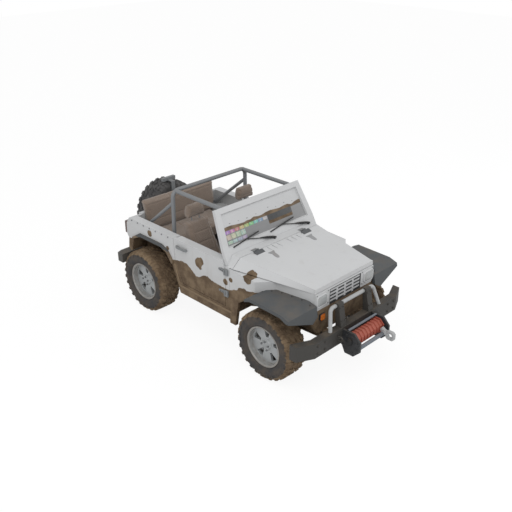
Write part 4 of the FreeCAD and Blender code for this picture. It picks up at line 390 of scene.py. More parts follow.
def mud_relief(finish):
    """The lumps, grit and cracks of dried mud."""
    lumps = finish.noise(18, 5, 0.62)
    cracks = finish.cells(34, "DISTANCE_TO_EDGE").fade(0.0, 0.07)
    return lumps * 0.75 + cracks * 0.12 + finish.noise(220, 2) * 0.13


def mud_on_sides(finish):
    """1 where mud lies: low on the outer sides, over the front panel, in arches and splashes."""
    # The left side's line is the right side's, moved along the car
    shift = (finish.x > 0.0) * 0.19
    first, last = MUD_LINE[0][0], MUD_LINE[-1][0]
    stops = [((y - first) / (last - first), (z - MUD_LOW) / MUD_SPAN) for y, z in MUD_LINE]
    line = finish.ramp((finish.y + shift - first) / (last - first), stops) * MUD_SPAN + MUD_LOW
    ragged = (finish.noise(26, 3) - 0.5) * 0.03 + (finish.noise(120, 2) - 0.5) * 0.012
    below = (line + ragged - finish.z).fade(-0.0015, 0.0015)
    wide = abs(finish.x)
    outside = (wide > TUB_SIDE) | (finish.y > TUB_BACK)
    low_front = (ragged + FRONT_MUD - finish.z).fade(-0.002, 0.002) & (finish.y < FRONT_PANEL)
    liner = (finish.z < LINER_TOP) & (finish.y < LINER_BACK) & (wide < LINER_SIDE)
    arch = (wide > ARCH_INNER) & (wide < ARCH_OUTER) & (finish.z < ARCH_TOP)
    arch = arch & (finish.y > ARCH_FRONT) & faces_wheel(finish)
    underneath = (-finish.facing(z=1.0)).fade(0.55, 0.7) & (finish.z < 0.95)
    return (below & (outside | underneath)) | low_front | liner | arch | splashed(finish, ragged)


def faces_wheel(finish):
    """1 where the body faces outwards or a rear wheel, and so is outside the cabin."""
    along, up = REAR_AXLE
    outwards = finish.facing(x=1.0) * finish.side() > 0.3
    inwards = finish.facing(y=1.0) * (along - finish.y) + finish.facing(z=1.0) * (up - finish.z)
    return outwards | (inwards > 0.05)


def splashed(finish, ragged):
    """Single splashes: placed ones on the right side, scattered ones on the left."""
    spots = 0.0
    for along, up, radius in SPLASHES:
        y, z = finish.y - along, finish.z - up
        far = (y * y + z * z).root() + ragged * 0.8
        spot = (radius - far).fade(-0.002, 0.002)
        spots = spot if isinstance(spots, float) else spots | spot
    scattered = (finish.noise(5.5, 4, 0.6) + (0.98 - finish.z) * 0.5).fade(0.635, 0.64)
    spots = spots & (finish.x < -0.5) & (finish.facing(x=-1.0) > -0.3)
    return spots | (scattered & (finish.x > 0.79))


# Finishes


def paint(name, muddy=True):
    """Pale grey paint with soft edges and a painted highlight along them, dust and, on the body,
    splashed mud.
    """
    look = colours()
    finish = Finish(name, {"Specular IOR Level": 0.42})
    rounded = finish.rounded(0.0045)
    edge = finish.edges(rounded)
    cloudy = finish.noise(1.7, 4, 0.55)
    base = finish.varied(cloudy, look.paint, 0.955, 1.035)
    streaks = finish.noise(9, 4, 0.6, finish.stretched(1.0, 1.0, 0.12)).fade(0.55, 0.85)
    base = finish.mix(streaks * 0.10, base, look.mud_pale)
    specks = finish.noise(95, 3, 0.6).fade(0.66, 0.72)
    base = finish.mix(specks * 0.10, base, shade(look.mud_pale, 0.8))
    # Painted highlight: every edge is painted paler, as if lit
    base = finish.mix(edge * 0.30, base, shade(look.paint, 1.12))
    chipped = edge & finish.noise(210, 3, 0.7).fade(0.60, 0.66)
    base = finish.mix(chipped * 0.75, base, tint(96, 92, 88))
    roughness = cloudy * 0.16 + 0.36 + streaks * 0.15
    height = finish.noise(420, 2) * 0.035
    if muddy:
        base = finish.mix(in_cabin(finish), base, tub_lining(finish, cloudy))
        cover_tone = finish.mix(cloudy, tint(72, 74, 76), tint(92, 94, 96))
        base = finish.mix(hinge_covers(finish), base, cover_tone)
        mud = mud_on_sides(finish)
        dusty = ((1.16 - finish.z) / 0.22).fade(0.0, 1.0) * finish.noise(5, 4).fade(0.25, 0.75)
        base = finish.mix(dusty * 0.10, base, look.mud_pale)
        base = finish.mix(mud, base, mud_tone(finish))
        roughness = roughness + mud * 0.42
        height = height + mud * (0.7 + mud_relief(finish) * 0.8)
    return finish.set(base, roughness, height, 0.0024, rounded)


def in_cabin(finish):
    """1 inside the tub, on faces that look inwards or lie between its side walls."""
    inwards = finish.facing(x=1.0) * finish.side() < -0.3
    between = (abs(finish.x) < CABIN_HALF_WIDTH) | inwards
    return between & (finish.y > CABIN_FRONT) & (finish.y < CABIN_BACK) & (finish.z < RAIL_TOP)


def tub_lining(finish, cloudy):
    """The tub's lining, with sand low down and most of it on what faces up."""
    look = colours()
    lining = finish.varied(cloudy, look.cabin, 0.84, 1.08)
    sand = (finish.noise(3.5, 5, 0.65) + finish.facing(z=1.0) * 0.12).fade(0.48, 0.62)
    return finish.mix(sand * (finish.z < 0.80) * 0.6, lining, look.mud_pale)


def hinge_covers(finish):
    """1 on the two hinge covers that stand over the back of the hood."""
    along, up = HOOD_FRONT
    over_hood = finish.z - up - (finish.y - along) * HOOD_SLOPE
    cover = (over_hood > 0.0) & (finish.y > -0.54) & (finish.y < -0.405)
    return cover & (abs(abs(finish.x) - 0.428) < 0.0745)


def coated(name, base_colour, rough=0.6, grain=260, mud=0.0, worn=0.35, metal=0.0, zone=None):
    """Coated or moulded stuff with grain, dust, worn edges and mud low down.

    A zone gives where another colour lies, and that colour.
    """
    look = colours()
    finish = Finish(name, {"Metallic": metal})
    rounded = finish.rounded(0.003)
    edge = finish.edges(rounded)
    cloudy = finish.noise(3.1, 4, 0.6)
    base = finish.varied(cloudy, base_colour, 0.86, 1.14)
    if zone:
        share, other = zone(finish)
        base = finish.mix(share, base, other)
    dust = finish.facing(z=1.0).fade(0.2, 1.0) * finish.noise(6, 4, 0.6).fade(0.3, 0.8)
    base = finish.mix(dust * 0.22, base, shade(look.mud_pale, 1.2))
    wear = edge * finish.noise(60, 4, 0.7).fade(0.35, 0.7)
    base = finish.mix(wear * worn, base, shade(base_colour, 2.0))
    roughness = cloudy * 0.18 + (rough - 0.09) + dust * 0.15
    height = finish.noise(grain, 3, 0.6) * 0.25
    if mud > 0:
        splash = (finish.noise(11, 5, 0.68) + (mud - finish.z) * 0.9).fade(0.52, 0.56)
        base = finish.mix(splash, base, mud_tone(finish))
        roughness = roughness + splash * 0.3
        height = height + splash * mud_relief(finish)
    return finish.set(base, roughness, height, 0.0016, rounded)


def low_rear_mud(finish):
    """The lower part of the rear flares, brown with mud."""
    ragged = (finish.noise(20, 4, 0.6) - 0.5) * 0.05
    share = (ragged + 1.045 - finish.z).fade(-0.004, 0.004) & (finish.y > 0.3)
    return share, mud_tone(finish)


def rear_end(finish):
    """The rear bumper, paler with dust than the front one."""
    return finish.y > 0.5, finish.varied(finish.noise(4, 4, 0.6), colours().bumper, 1.5, 2.1)


def end_plates(finish):
    """The winch's end plates, near black."""
    tone = finish.varied(finish.noise(9, 4, 0.6), colours().black, 1.0, 2.0)
    return abs(finish.x) > 0.2615, tone


def wheel_space(finish, centre, axis):
    """The distance from a wheel's axis, and the place along its axis."""
    sides = (finish.x - centre.x, finish.y - centre.y)
    across, other = sides if axis == "x" else reversed(sides)
    up = finish.z - centre.z
    return (other * other + up * up).root(), across


def tyre_rubber(name, centre, axis, muddy):
    """Dusty rubber whose tread and shoulders carry dried mud."""
    look = colours()
    finish = Finish(name)
    radius, across = wheel_space(finish, centre, axis)
    dusty = finish.noise(8, 5, 0.65).fade(0.3, 0.75)
    base = finish.varied(finish.noise(30, 4), look.rubber, 0.8, 1.25)
    base = finish.mix(dusty * 0.3, base, look.mud_pale if muddy else tint(150, 148, 145))
    grooves = (radius * 420.0).sine()
    height = finish.noise(160, 3) * 0.3 + grooves * 0.04
    roughness = dusty * 0.12 + 0.74
    if muddy:
        ragged = (finish.noise(17, 4, 0.6) - 0.5) * 0.03
        caked = (radius + ragged).fade(0.386, 0.392) | (abs(across) < 0.118)
        caked = caked & radius.fade(0.27, 0.275)
        bare = finish.noise(34, 4, 0.7).fade(0.66, 0.70) * radius.fade(0.432, 0.438)
        caked = caked * (1.0 - bare * 0.6)
        base = finish.mix(caked, base, mud_tone(finish, paler=1.12))
        roughness = roughness + caked * 0.2
        height = height + caked * mud_relief(finish)
    return finish.set(base, roughness, height, 0.004)


def rim_paint(name, centre, axis):
    """Silver paint, dusty towards the hub and the lip."""
    look = colours()
    finish = Finish(name, {"Metallic": 0.35})
    rounded = finish.rounded(0.004)
    radius, _ = wheel_space(finish, centre, axis)
    cloudy = finish.noise(14, 4, 0.6)
    base = finish.varied(cloudy, look.rim, 0.86, 1.1)
    lip = radius.fade(0.205, 0.25)
    dust = (lip * 0.5 + finish.noise(24, 5, 0.7) * 0.6).fade(0.45, 0.95)
    base = finish.mix(dust * 0.55, base, look.mud_pale)
    nicks = finish.noise(180, 3, 0.7).fade(0.66, 0.7) * finish.edges(rounded)
    base = finish.mix(nicks * 0.8, base, tint(82, 78, 74))
    return finish.set(base, cloudy * 0.15 + 0.36 + dust * 0.25, cloudy * 0.3, 0.001, rounded)


# The wavy mud line across the windscreen: the place across, its lower and its upper height.
# The line and the specks are moved sideways together by the shift.
SCREEN_SHIFT = 0.016
SCREEN_MUD = (
    (-0.70, 0.400, 0.430), (-0.64, 0.399, 0.434), (-0.58, 0.399, 0.433), (-0.50, 0.385, 0.423),
    (-0.42, 0.384, 0.414), (-0.36, 0.382, 0.412), (-0.31, 0.381, 0.421), (-0.25, 0.390, 0.416),
    (-0.19, 0.397, 0.434), (-0.12, 0.399, 0.419), (-0.05, 0.398, 0.418), (0.02, 0.395, 0.431),
    (0.10, 0.394, 0.435), (0.18, 0.393, 0.427), (0.27, 0.392, 0.418), (0.35, 0.391, 0.428),
    (0.42, 0.390, 0.430), (0.49, 0.391, 0.408), (0.57, 0.394, 0.429), (0.64, 0.398, 0.438),
    (0.70, 0.403, 0.426),
)
# Specks over the line: the place across, the height and the radius
SPECKS = (
    (-0.586, 0.460, 0.013), (-0.443, 0.454, 0.010), (-0.300, 0.448, 0.014), (-0.140, 0.455, 0.010),
    (0.083, 0.479, 0.012), (0.217, 0.450, 0.009), (0.374, 0.462, 0.013), (0.523, 0.446, 0.010),
)


def screen_line(finish, sideways, column):
    """The height of the lower (1) or upper (2) edge of the screen's mud, as a ramp across it."""
    low, span, wide = 0.36, 0.1, 1.44
    sunk = low + (2 - column) * 0.009
    stops = [((row[0] + wide / 2) / wide, (row[column] - sunk) / span) for row in SCREEN_MUD]
    return finish.ramp((sideways + wide / 2) / wide, stops) * span + low


def dusty_glass(name):
    """The pane: pale film above, a wavy line of mud, and grey glass below."""
    look = colours()
    finish = Finish(name, {"Specular IOR Level": 0.6})
    up = (finish.z - PANE_FOOT) / math.cos(SCREEN_LEAN)
    sideways = finish.x - SCREEN_SHIFT
    low_line, high_line = (screen_line(finish, sideways, column) for column in (1, 2))
    ragged = (finish.noise(90, 3) - 0.5) * 0.005
    film = (up + ragged - high_line).fade(-0.001, 0.001)
    band = (up + ragged - low_line).fade(-0.001, 0.001) * (1.0 - film)
    pale = finish.varied(finish.noise(5, 4), look.paint, 0.90, 0.97)
    for x, height, radius in SPECKS:
        aside = sideways - x
        rise = (up - height) * 2.6
        speck = (radius - (aside * aside + rise * rise).root()).fade(-0.002, 0.002)
        pale = finish.mix(speck * 0.7, pale, tint(70, 70, 72))
    grey = finish.mix(finish.noise(3, 3), tint(130, 130, 131), tint(142, 143, 144))
    smears = finish.noise(22, 5, 0.7, finish.stretched(0.3, 1.0, 1.4)).fade(0.5, 0.8)
    grey = finish.mix(smears * 0.14, grey, tint(176, 174, 170))
    base = finish.mix(film, grey, pale)
    base = finish.mix(band, base, mud_tone(finish))
    roughness = film * 0.36 + 0.14 + smears * 0.10 + band * 0.6
    height = finish.noise(80, 3) * film * 0.15 + band * (mud_relief(finish) + 0.6)
    return finish.set(base, roughness, height, 0.0012)


def sticker(name, row):
    """A row of plain coloured stickers: one hue after the other, each with a pale mark."""
    finish = Finish(name)
    along = (finish.x + STICKER_START) / STICKER_PITCH
    step, place = along.floor(), along.fraction()
    hue = (step * 0.119 + 0.76 + row * 0.31).fraction()
    strength = (step < 7.5) * (0.56 if row == 0 else 0.22) + 0.06
    brightness = (finish.cells(45) > 0.5) * 0.10 + (0.44 if row == 0 else 0.46)
    ground = finish.node("ShaderNodeCombineColor", {"mode": "HSV"}, [hue, strength, brightness])
    mark = (place.fade(0.24, 0.27) * (1.0 - place.fade(0.58, 0.61))) & (finish.noise(60, 1) > 0.47)
    base = finish.mix(mark * 0.6, ground, tint(205, 200, 190))
    dust = finish.noise(30, 5, 0.7).fade(0.35, 0.85)
    base = finish.mix(dust * 0.25, base, colours().mud_pale)
    return finish.set(base, dust * 0.2 + 0.4, finish.noise(300, 2), 0.0002)


def dark_panel(name):
    """A dark plain panel with a strip of mud below it."""
    finish = Finish(name)
    up = (finish.z - PANE_FOOT) / math.cos(SCREEN_LEAN)
    cloudy = finish.noise(26, 4, 0.65)
    base = finish.mix(cloudy, tint(58, 59, 61), tint(84, 85, 85))
    strip = (0.312 + (finish.noise(40, 3) - 0.5) * 0.01 - up).fade(-0.002, 0.002)
    base = finish.mix(strip, base, mud_tone(finish))
    return finish.set(base, strip * 0.4 + 0.45, strip * mud_relief(finish), 0.001)


def woven(name):
    """Worn seat cloth: a fine weave, faded high spots and dust in the folds."""
    look = colours()
    finish = Finish(name, {"Sheen Weight": 0.35, "Sheen Roughness": 0.6})
    thread = 1500.0
    weave = (finish.x * thread).sine() * ((finish.y + finish.z) * thread).sine()
    cloudy = finish.noise(4.5, 5, 0.6)
    base = finish.varied(cloudy, look.cloth, 0.80, 1.16)
    base = finish.mix(finish.noise(46, 4, 0.7).fade(0.5, 0.8) * 0.35, base, shade(look.cloth, 0.6))
    base = finish.mix(weave.fade(-0.2, 1.0) * 0.22, base, shade(look.cloth, 1.35))
    lint = finish.noise(320, 2).fade(0.62, 0.7)
    base = finish.mix(lint * 0.25, base, shade(look.mud_pale, 1.3))
    height = weave * 0.35 + finish.noise(26, 4, 0.6) * 0.9
    return finish.set(base, cloudy * 0.1 + 0.82, height, 0.0009)


def lens(name, base_colour, behind=None):
    """Ribbed plastic lens with road film on it; at the car's back it has another colour."""
    ribs = 360.0
    finish = Finish(name, {"Coat Roughness": 0.12, "Coat Weight": 0.5})
    film = finish.noise(14, 5, 0.65).fade(0.35, 0.85)
    base = finish.varied(finish.noise(9, 2), base_colour, 0.88, 1.1)
    if behind:
        base = finish.mix(finish.y > 0.0, base, behind)
    base = finish.mix(film * 0.25, base, colours().mud_pale)
    wave = (finish.x * ribs).sine()
    cross = (finish.z * ribs * 0.5).sine()
    return finish.set(base, film * 0.3 + 0.16, wave * 0.5 + cross * 0.2, 0.0012)


def grille_paint(name):
    """Pale grille with a black gasket round it and black inside its slots, behind its face."""
    look = colours()
    finish = Finish(name)
    rounded = finish.rounded(0.003)
    low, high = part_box("grille_insert")
    edge = 0.011
    rim = (abs(finish.x) > high[0] - edge) | (finish.z > high[2] - edge)
    rim = rim | (finish.z < low[2] + edge)
    # Black on all that lies more than 2.5 mm behind the grille's face
    inside = (finish.y > low[1] + 0.0025).fade(0.4, 0.6)
    cloudy = finish.noise(12, 4, 0.6)
    pale = finish.varied(cloudy, look.paint, 0.90, 1.02)
    dark = finish.varied(cloudy, look.black, 0.6, 1.1)
    base = finish.mix(rim | inside, pale, dark)
    dust = finish.noise(40, 4, 0.7).fade(0.55, 0.8)
    base = finish.mix(dust * 0.22, base, look.mud_pale)
    return finish.set(base, cloudy * 0.2 + 0.4, finish.noise(200, 2), 0.0006, rounded)


FINISHES = {}


def finish_of(name):
    """The shared finish of that name, made when it is first asked for."""
    if name in FINISHES:
        return FINISHES[name]
    look = colours()
    makers = {
        "paint": lambda: paint("Body paint"),
        "clean_paint": lambda: paint("Screen paint", muddy=False),
        "flare": lambda: coated(
            "Flare moulding", look.flare, 0.62, 520, mud=0.62, worn=0.2, zone=low_rear_mud
        ),
        "bumper": lambda: coated("Bumper coat", look.bumper, 0.6, 340, mud=0.28, zone=rear_end),
        "tube": lambda: coated("Bull bar paint", look.tube, 0.4, 90, worn=0.12),
        "cage": lambda: coated("Cage paint", look.cage, 0.45, 120, worn=0.2),
        "fitting": lambda: coated("Fitting paint", look.fitting, 0.45, 150, worn=0.25),
        "drum": lambda: coated("Drum paint", look.drum, 0.5, 120, worn=0.25),
        "steel": lambda: coated("Winch steel", look.steel, 0.45, 120, worn=0.15, zone=end_plates),
        "hook": lambda: coated("Hook zinc", tint(172, 176, 177), 0.38, 90, metal=0.5),
        "black": lambda: coated("Black moulding", look.black, 0.6, 420, worn=0.25),
        "chassis": lambda: coated("Chassis paint", look.chassis, 0.65, 160, mud=0.75),
        "iron": lambda: coated("Iron casting", look.iron, 0.75, 110, mud=0.7),
        "glass": lambda: dusty_glass("Dusty glass"),
        "cloth": lambda: woven("Seat cloth"),
        "grille": lambda: grille_paint("Grille paint"),
        "headlamp": lambda: lens("Headlamp glass", tint(168, 171, 172)),
        "signal": lambda: lens("Marker lenses", look.signal, behind=look.tail),
        "sticker_top": lambda: sticker("Sticker row", 0),
        "sticker_middle": lambda: sticker("Second sticker row", 1),
        "sticker_low": lambda: sticker("Third sticker row", 2),
        "panel": lambda: dark_panel("Dark panel"),
        "white": lambda: coated("Blank plate", tint(196, 196, 192), 0.45, 300, worn=0.05),
        "strip": lambda: coated("Muddy strip", look.mud_pale, 0.85, 200, worn=0.0, mud=0.5),
        "mat": lambda: coated("Floor mat", shade(look.rubber, 0.7), 0.85, 240, worn=0.1, mud=0.9),
        "seal": lambda: coated("Screen seal", shade(look.paint, 0.98), 0.6, 300, worn=0.05),
        "pad": lambda: coated("Hood pad", tint(150, 151, 153), 0.55, 300, worn=0.1),
        "nut": lambda: coated("Zinc fixings", tint(122, 124, 126), 0.4, 200, metal=0.6),
    }
    FINISHES[name] = makers[name]()
    return FINISHES[name]


NODE_FINISHES = {
    "paint": ("body_tub", "door_right", "door_left", "front_wings", "grille_shell", "hood", "tailgate"),
    "clean_paint": ("windscreen_frame",),
    "flare": ("front_flares", "rear_flares"),
    "bumper": ("front_bumper", "rear_bumper"),
    "tube": ("bull_bar",),
    "cage": ("roll_cage",),
    "fitting": ("door_fittings_right", "door_fittings_left", "hinge_leaves", "gate_fittings"),
    "drum": ("winch_drum",),
    "steel": ("winch_frame",),
    "hook": ("winch_hook",),
    "black": ("dashboard", "steering_wheel", "wipers", "seat_bases"),
    "chassis": ("chassis_frame", "fuel_tank", "gearbox_and_shaft"),
    "iron": ("front_axle", "rear_axle", "knuckle_right", "knuckle_left", "leaf_springs"),
    "glass": ("windscreen_glass",),
    "grille": ("grille_insert",),
    "headlamp": ("headlamps",),
    "signal": ("marker_lamps",),
    "cloth": ("seat_front_right", "seat_front_left", "rear_bench"),
}


def dress(node, material):
    """Puts a material in every slot of a node."""
    mesh = NODES[node].data
    if not mesh.materials:
        mesh.materials.append(material)
    for index in range(len(mesh.materials)):
        mesh.materials[index] = material


# Modelling helpers


def start(kind, name, place=(0, 0, 0), turned=(0, 0, 0), **measures):
    """Adds a primitive with nothing else selected, its place in its mesh, in edit mode."""
    bpy.ops.object.select_all(action="DESELECT")
    add_primitive(kind, place, turned, **measures)
    piece = bpy.context.active_object
    piece.name = name
    piece.data.name = name
    bpy.ops.object.transform_apply(location=True, rotation=True, scale=True)
    bpy.ops.object.mode_set(mode="EDIT")
    return piece


def add_primitive(kind, place=(0, 0, 0), turned=(0, 0, 0), **measures):
    """Adds a primitive, to the piece itself where it is in edit mode."""
    if kind == "cube":
        measures.setdefault("size", 1)
    getattr(bpy.ops.mesh, f"primitive_{kind}_add")(location=place, rotation=turned, **measures)


def pick(piece, test):
    """Selects the faces of a piece in edit mode whose normal passes the test."""
    bpy.ops.mesh.select_mode(type="FACE")
    bpy.ops.mesh.select_all(action="DESELECT")
    shape = bmesh.from_edit_mesh(piece.data)
    for face in shape.faces:
        if test(face.normal):
            face.select_set(True)
    bmesh.update_edit_mesh(piece.data)


def pick_all():
    """Selects all of the piece in edit mode."""
    bpy.ops.mesh.select_all(action="SELECT")


def inset(width, move=(0, 0, 0)):
    """Insets the picked faces and then moves them."""
    bpy.ops.mesh.inset(thickness=width)
    if any(move):
        bpy.ops.transform.translate(value=move)


def spin(steps, angle, copies=False):
    """Spins what is selected about the X axis."""
    bpy.ops.mesh.spin(steps=steps, dupli=copies, angle=angle, center=(0, 0, 0), axis=(1, 0, 0))


def put_points(piece, places):
    """Moves the points of a piece in edit mode, in their order, to the places."""
    shape = bmesh.from_edit_mesh(piece.data)
    for point, place in zip(shape.verts, places):
        point.co = place
    shape.normal_update()
    bmesh.update_edit_mesh(piece.data)


def take(piece):
    """Makes a piece the only one selected, and the active one."""
    bpy.ops.object.select_all(action="DESELECT")
    piece.select_set(True)
    bpy.context.view_layer.objects.active = piece


def modify(piece, kind, **settings):
    """Gives the active piece a modifier with these settings, and applies it."""
    modifier = piece.modifiers.new(kind.title(), kind)
    for key, value in settings.items():
        setattr(modifier, key, value)
    bpy.ops.object.modifier_apply(modifier=modifier.name)


def finish_piece(piece, body, look, bevel=0.0, segments=2, smooth=38):
    """Leaves edit mode, rounds the edges and gives the piece its finish and its body."""
    if bpy.context.mode != "OBJECT":
        bpy.ops.object.mode_set(mode="OBJECT")
    take(piece)
    if bevel:
        sharp = math.radians(35)
        modify(piece, "BEVEL", width=bevel, segments=segments, limit_method="ANGLE", angle_limit=sharp)
    bpy.ops.object.shade_smooth_by_angle(angle=math.radians(smooth))
    piece.data.materials.clear()
    piece.data.materials.append(look if isinstance(look, bpy.types.Material) else finish_of(look))
    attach(piece, body)


def copy_of(piece, name, matrix):
    """A copy with a mesh of its own, moved by the matrix."""
    twin = piece.copy()
    twin.data = piece.data.copy()
    twin.name = name
    twin.data.name = name
    twin.parent = None
    twin.data.transform(matrix)
    if matrix.determinant() < 0:
        twin.data.flip_normals()
    bpy.context.collection.objects.link(twin)
    return twin


MIRROR = Matrix.Scale(-1, 4, Vector((1, 0, 0)))


def raised(corner, height, axis):
    """A corner of an outline as a place in space, at this height along the axis."""
    place = list(corner)
    place.insert("xyz".index(axis), height)
    return place


def flat(name, outline, low, axis="z"):
    """One face through the outline's corners, across an axis, in edit mode."""
    piece = start("circle", name, vertices=len(outline), radius=1, fill_type="NGON")
    put_points(piece, [raised(corner, low, axis) for corner in outline])
    return piece


def thicken(by, axis="z"):
    """Pulls all the faces out along an axis, in edit mode."""
    pick_all()
    lift = raised((0, 0), by, axis)
    bpy.ops.mesh.extrude_region_move(TRANSFORM_OT_translate={"value": lift})
    pick_all()
    bpy.ops.mesh.normals_make_consistent(inside=False)


def prism(name, outline, low, high, axis="z"):
    """A plate through the outline's corners, from low to high along an axis, in edit mode."""
    piece = flat(name, outline, low, axis)
    thicken(high - low, axis)
    return piece


def rim_plate(name, outline, width, low, high, axis="z"):
    """A frame that follows the outline, this wide inwards, in edit mode."""
    piece = flat(name, outline, low, axis)
    pick_all()
    inset(width)
    bpy.ops.mesh.delete(type="FACE")
    thicken(high - low, axis)
    return piece


def settle(piece, matrix=None):
    """Leaves edit mode and moves the piece's mesh."""
    bpy.ops.object.mode_set(mode="OBJECT")
    if matrix is not None:
        piece.data.transform(matrix)
    return piece


def joined(name, pieces):
    """Several pieces made one."""
    take(pieces[0])
    for piece in pieces:
        piece.select_set(True)
    bpy.ops.object.join()
    pieces[0].name = name
    pieces[0].data.name = name
    return pieces[0]


def both_sides_of(name, piece):
    """The piece joined with its mirror image."""
    return joined(name, [copy_of(piece, name + "_twin", MIRROR), piece])


def surface(node, origin, direction):
    """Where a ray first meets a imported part, and the way that the surface faces there."""
    thing = NODES[node]
    inward = thing.matrix_world.inverted()
    way = (inward.to_3x3() @ Vector(direction)).normalized()
    found, place, normal, _ = thing.ray_cast(inward @ Vector(origin), way)
    if not found:
        raise RuntimeError(f"no surface of {node} from {origin}")
    normal = (thing.matrix_world.to_3x3() @ normal).normalized()
    return thing.matrix_world @ place, normal


def standing_on(node, origin, direction):
    """A matrix that stands a small piece, made along +Z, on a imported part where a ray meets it."""
    place, normal = surface(node, origin, direction)
    return Matrix.Translation(place) @ normal.to_track_quat("Z", "Y").to_matrix().to_4x4()


def scattered(name, pattern, matrices):
    """Copies of one small pattern at many places, joined; the pattern itself goes."""
    twins = [copy_of(pattern, f"{name}_{i}", matrix) for i, matrix in enumerate(matrices)]
    bpy.data.objects.remove(pattern)
    return joined(name, twins)


def bolt(radius, height, sides):
    """A bolt head on its washer, along +Z from the origin."""
    middle_up, depth = height * 0.6, height * 0.8
    head = start("cylinder", "bolt", (0, 0, middle_up), vertices=sides, radius=radius, depth=depth)
    pick(head, lambda normal: normal.z > 0.9)
    inset(radius * 0.2, (0, 0, height * 0.12))
    middle_up, depth = height * 0.1, height * 0.2
    add_primitive("cylinder", (0, 0, middle_up), vertices=10, radius=radius * 1.4, depth=depth)
    return settle(head)


def tube(name, points, radius, spread=()):
    """A round tube along a line of points with its corners eased, as a mesh.

    The spread makes it thicker or thinner at each point.
    """
    line = bpy.data.curves.new(name, "CURVE")
    line.dimensions = "3D"
    line.bevel_depth = radius
    line.bevel_resolution = 2
    line.use_fill_caps = True
    line.resolution_u = 6
    run = line.splines.new("NURBS")
    run.points.add(len(points) - 1)
    for control, place, by in zip(run.points, points, spread or [1.0] * len(points)):
        control.co = (*place, 1)
        control.radius = by
    run.order_u = 3
    run.use_endpoint_u = True
    pipe = bpy.data.objects.new(name, line)
    bpy.context.collection.objects.link(pipe)
    take(pipe)
    bpy.ops.object.convert(target="MESH")
    return bpy.context.active_object


def octagon(across, up, half_wide, half_high, corner):
    """A rectangle with cut corners round a middle."""
    corners = []
    for a, b in ((1, 1), (-1, 1), (-1, -1), (1, -1)):
        first = (across + a * (half_wide - corner), up + b * half_high)
        second = (across + a * half_wide, up + b * (half_high - corner))
        corners += [first, second] if a * b < 0 else [second, first]
    return corners


def rectangle(left, right, low, high):
    """The corners of a rectangle."""
    return [(left, low), (right, low), (right, high), (left, high)]


# The pieces


class PieceOperator:
    """What every piece's operator shares."""

    bl_options = {"REGISTER", "UNDO"}

    def execute(self, context):
        self.build()
        return {"FINISHED"}


# Each wheel's body, the axis that it turns about, and the side that its face looks to
WHEELS = {
    "front_right": ("wheel_front_right", "x", -1),
    "front_left": ("wheel_front_left", "x", 1),
    "rear_right": ("wheel_rear_right", "x", -1),
    "rear_left": ("wheel_rear_left", "x", 1),
    "spare": ("rear_gate", "y", 1),
}


def at_wheel(node, axis, turned=0):
    """A matrix that puts a piece made about the X axis on a wheel, turned by some degrees."""
    angle = math.radians(90 if axis == "y" else turned)
    return Matrix.Translation(middle(node)) @ Matrix.Rotation(angle, 4, "Z")


class OPENCAR_OT_panels(PieceOperator, bpy.types.Operator):
    """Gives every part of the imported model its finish"""

    bl_idname = "opencar.panels"
    bl_label = "Panels and machinery"

    def build(self):
        for look, nodes in NODE_FINISHES.items():
            for node in nodes:
                dress(node, finish_of(look))
        for wheel, (_, axis, _) in WHEELS.items():
            centre = middle("tyre_" + wheel)
            label = wheel.replace("_", " ")
            muddy = wheel != "spare"
            dress("tyre_" + wheel, tyre_rubber(f"Tyre {label}", centre, axis, muddy))
            dress("rim_" + wheel, rim_paint(f"Rim {label}", centre, axis))


def turned_ring(name, profile, steps):
    """A closed outline of (across, radius) places, spun about the X axis."""
    ring = start("circle", name, vertices=len(profile), radius=1, fill_type="NOTHING")
    put_points(ring, [(across, 0, radius) for across, radius in profile])
    pick_all()
    spin(steps, math.tau)
    pick_all()
    bpy.ops.mesh.remove_doubles(threshold=0.0001)
    bpy.ops.mesh.normals_make_consistent(inside=False)
    return ring


def add_block_ring(ring, corners, count, offset=0.0):
    """A block given by its eight (across, angle, radius) corners, repeated round the X axis."""
    bpy.ops.mesh.select_mode(type="VERT")
    bpy.ops.mesh.select_all(action="DESELECT")
    add_primitive("cube")
    shape = bmesh.from_edit_mesh(ring.data)
    points = [point for point in shape.verts if point.select]
    points.sort(key=lambda point: (point.co.z > 0, point.co.y > 0, point.co.x > 0))
    for point, (across, angle, radius) in zip(points, corners):
        angle += offset
        point.co = (across, -radius * math.sin(angle), radius * math.cos(angle))
    bmesh.update_edit_mesh(ring.data)
    bpy.ops.mesh.normals_make_consistent(inside=False)
    bpy.ops.mesh.bevel(offset=0.003, segments=1, affect="EDGES")
    bpy.ops.mesh.select_linked()
    spin(count - 1, math.tau / count * (count - 1), copies=True)


def lug(inner, outer, half_angle, skew, foot, top, drop=0.0):
    """The corners of one lug: its ends across, half its angle, its skew and its heights."""
    corners = []
    for radius, narrow in ((foot, 1.0), (top, 0.82)):
        for side in (-1, 1):
            for across, lean in ((inner, -skew), (outer, skew)):
                low = radius - (drop if across == outer else 0.0)
                corners.append((across, side * half_angle * narrow + lean, low))
    return corners


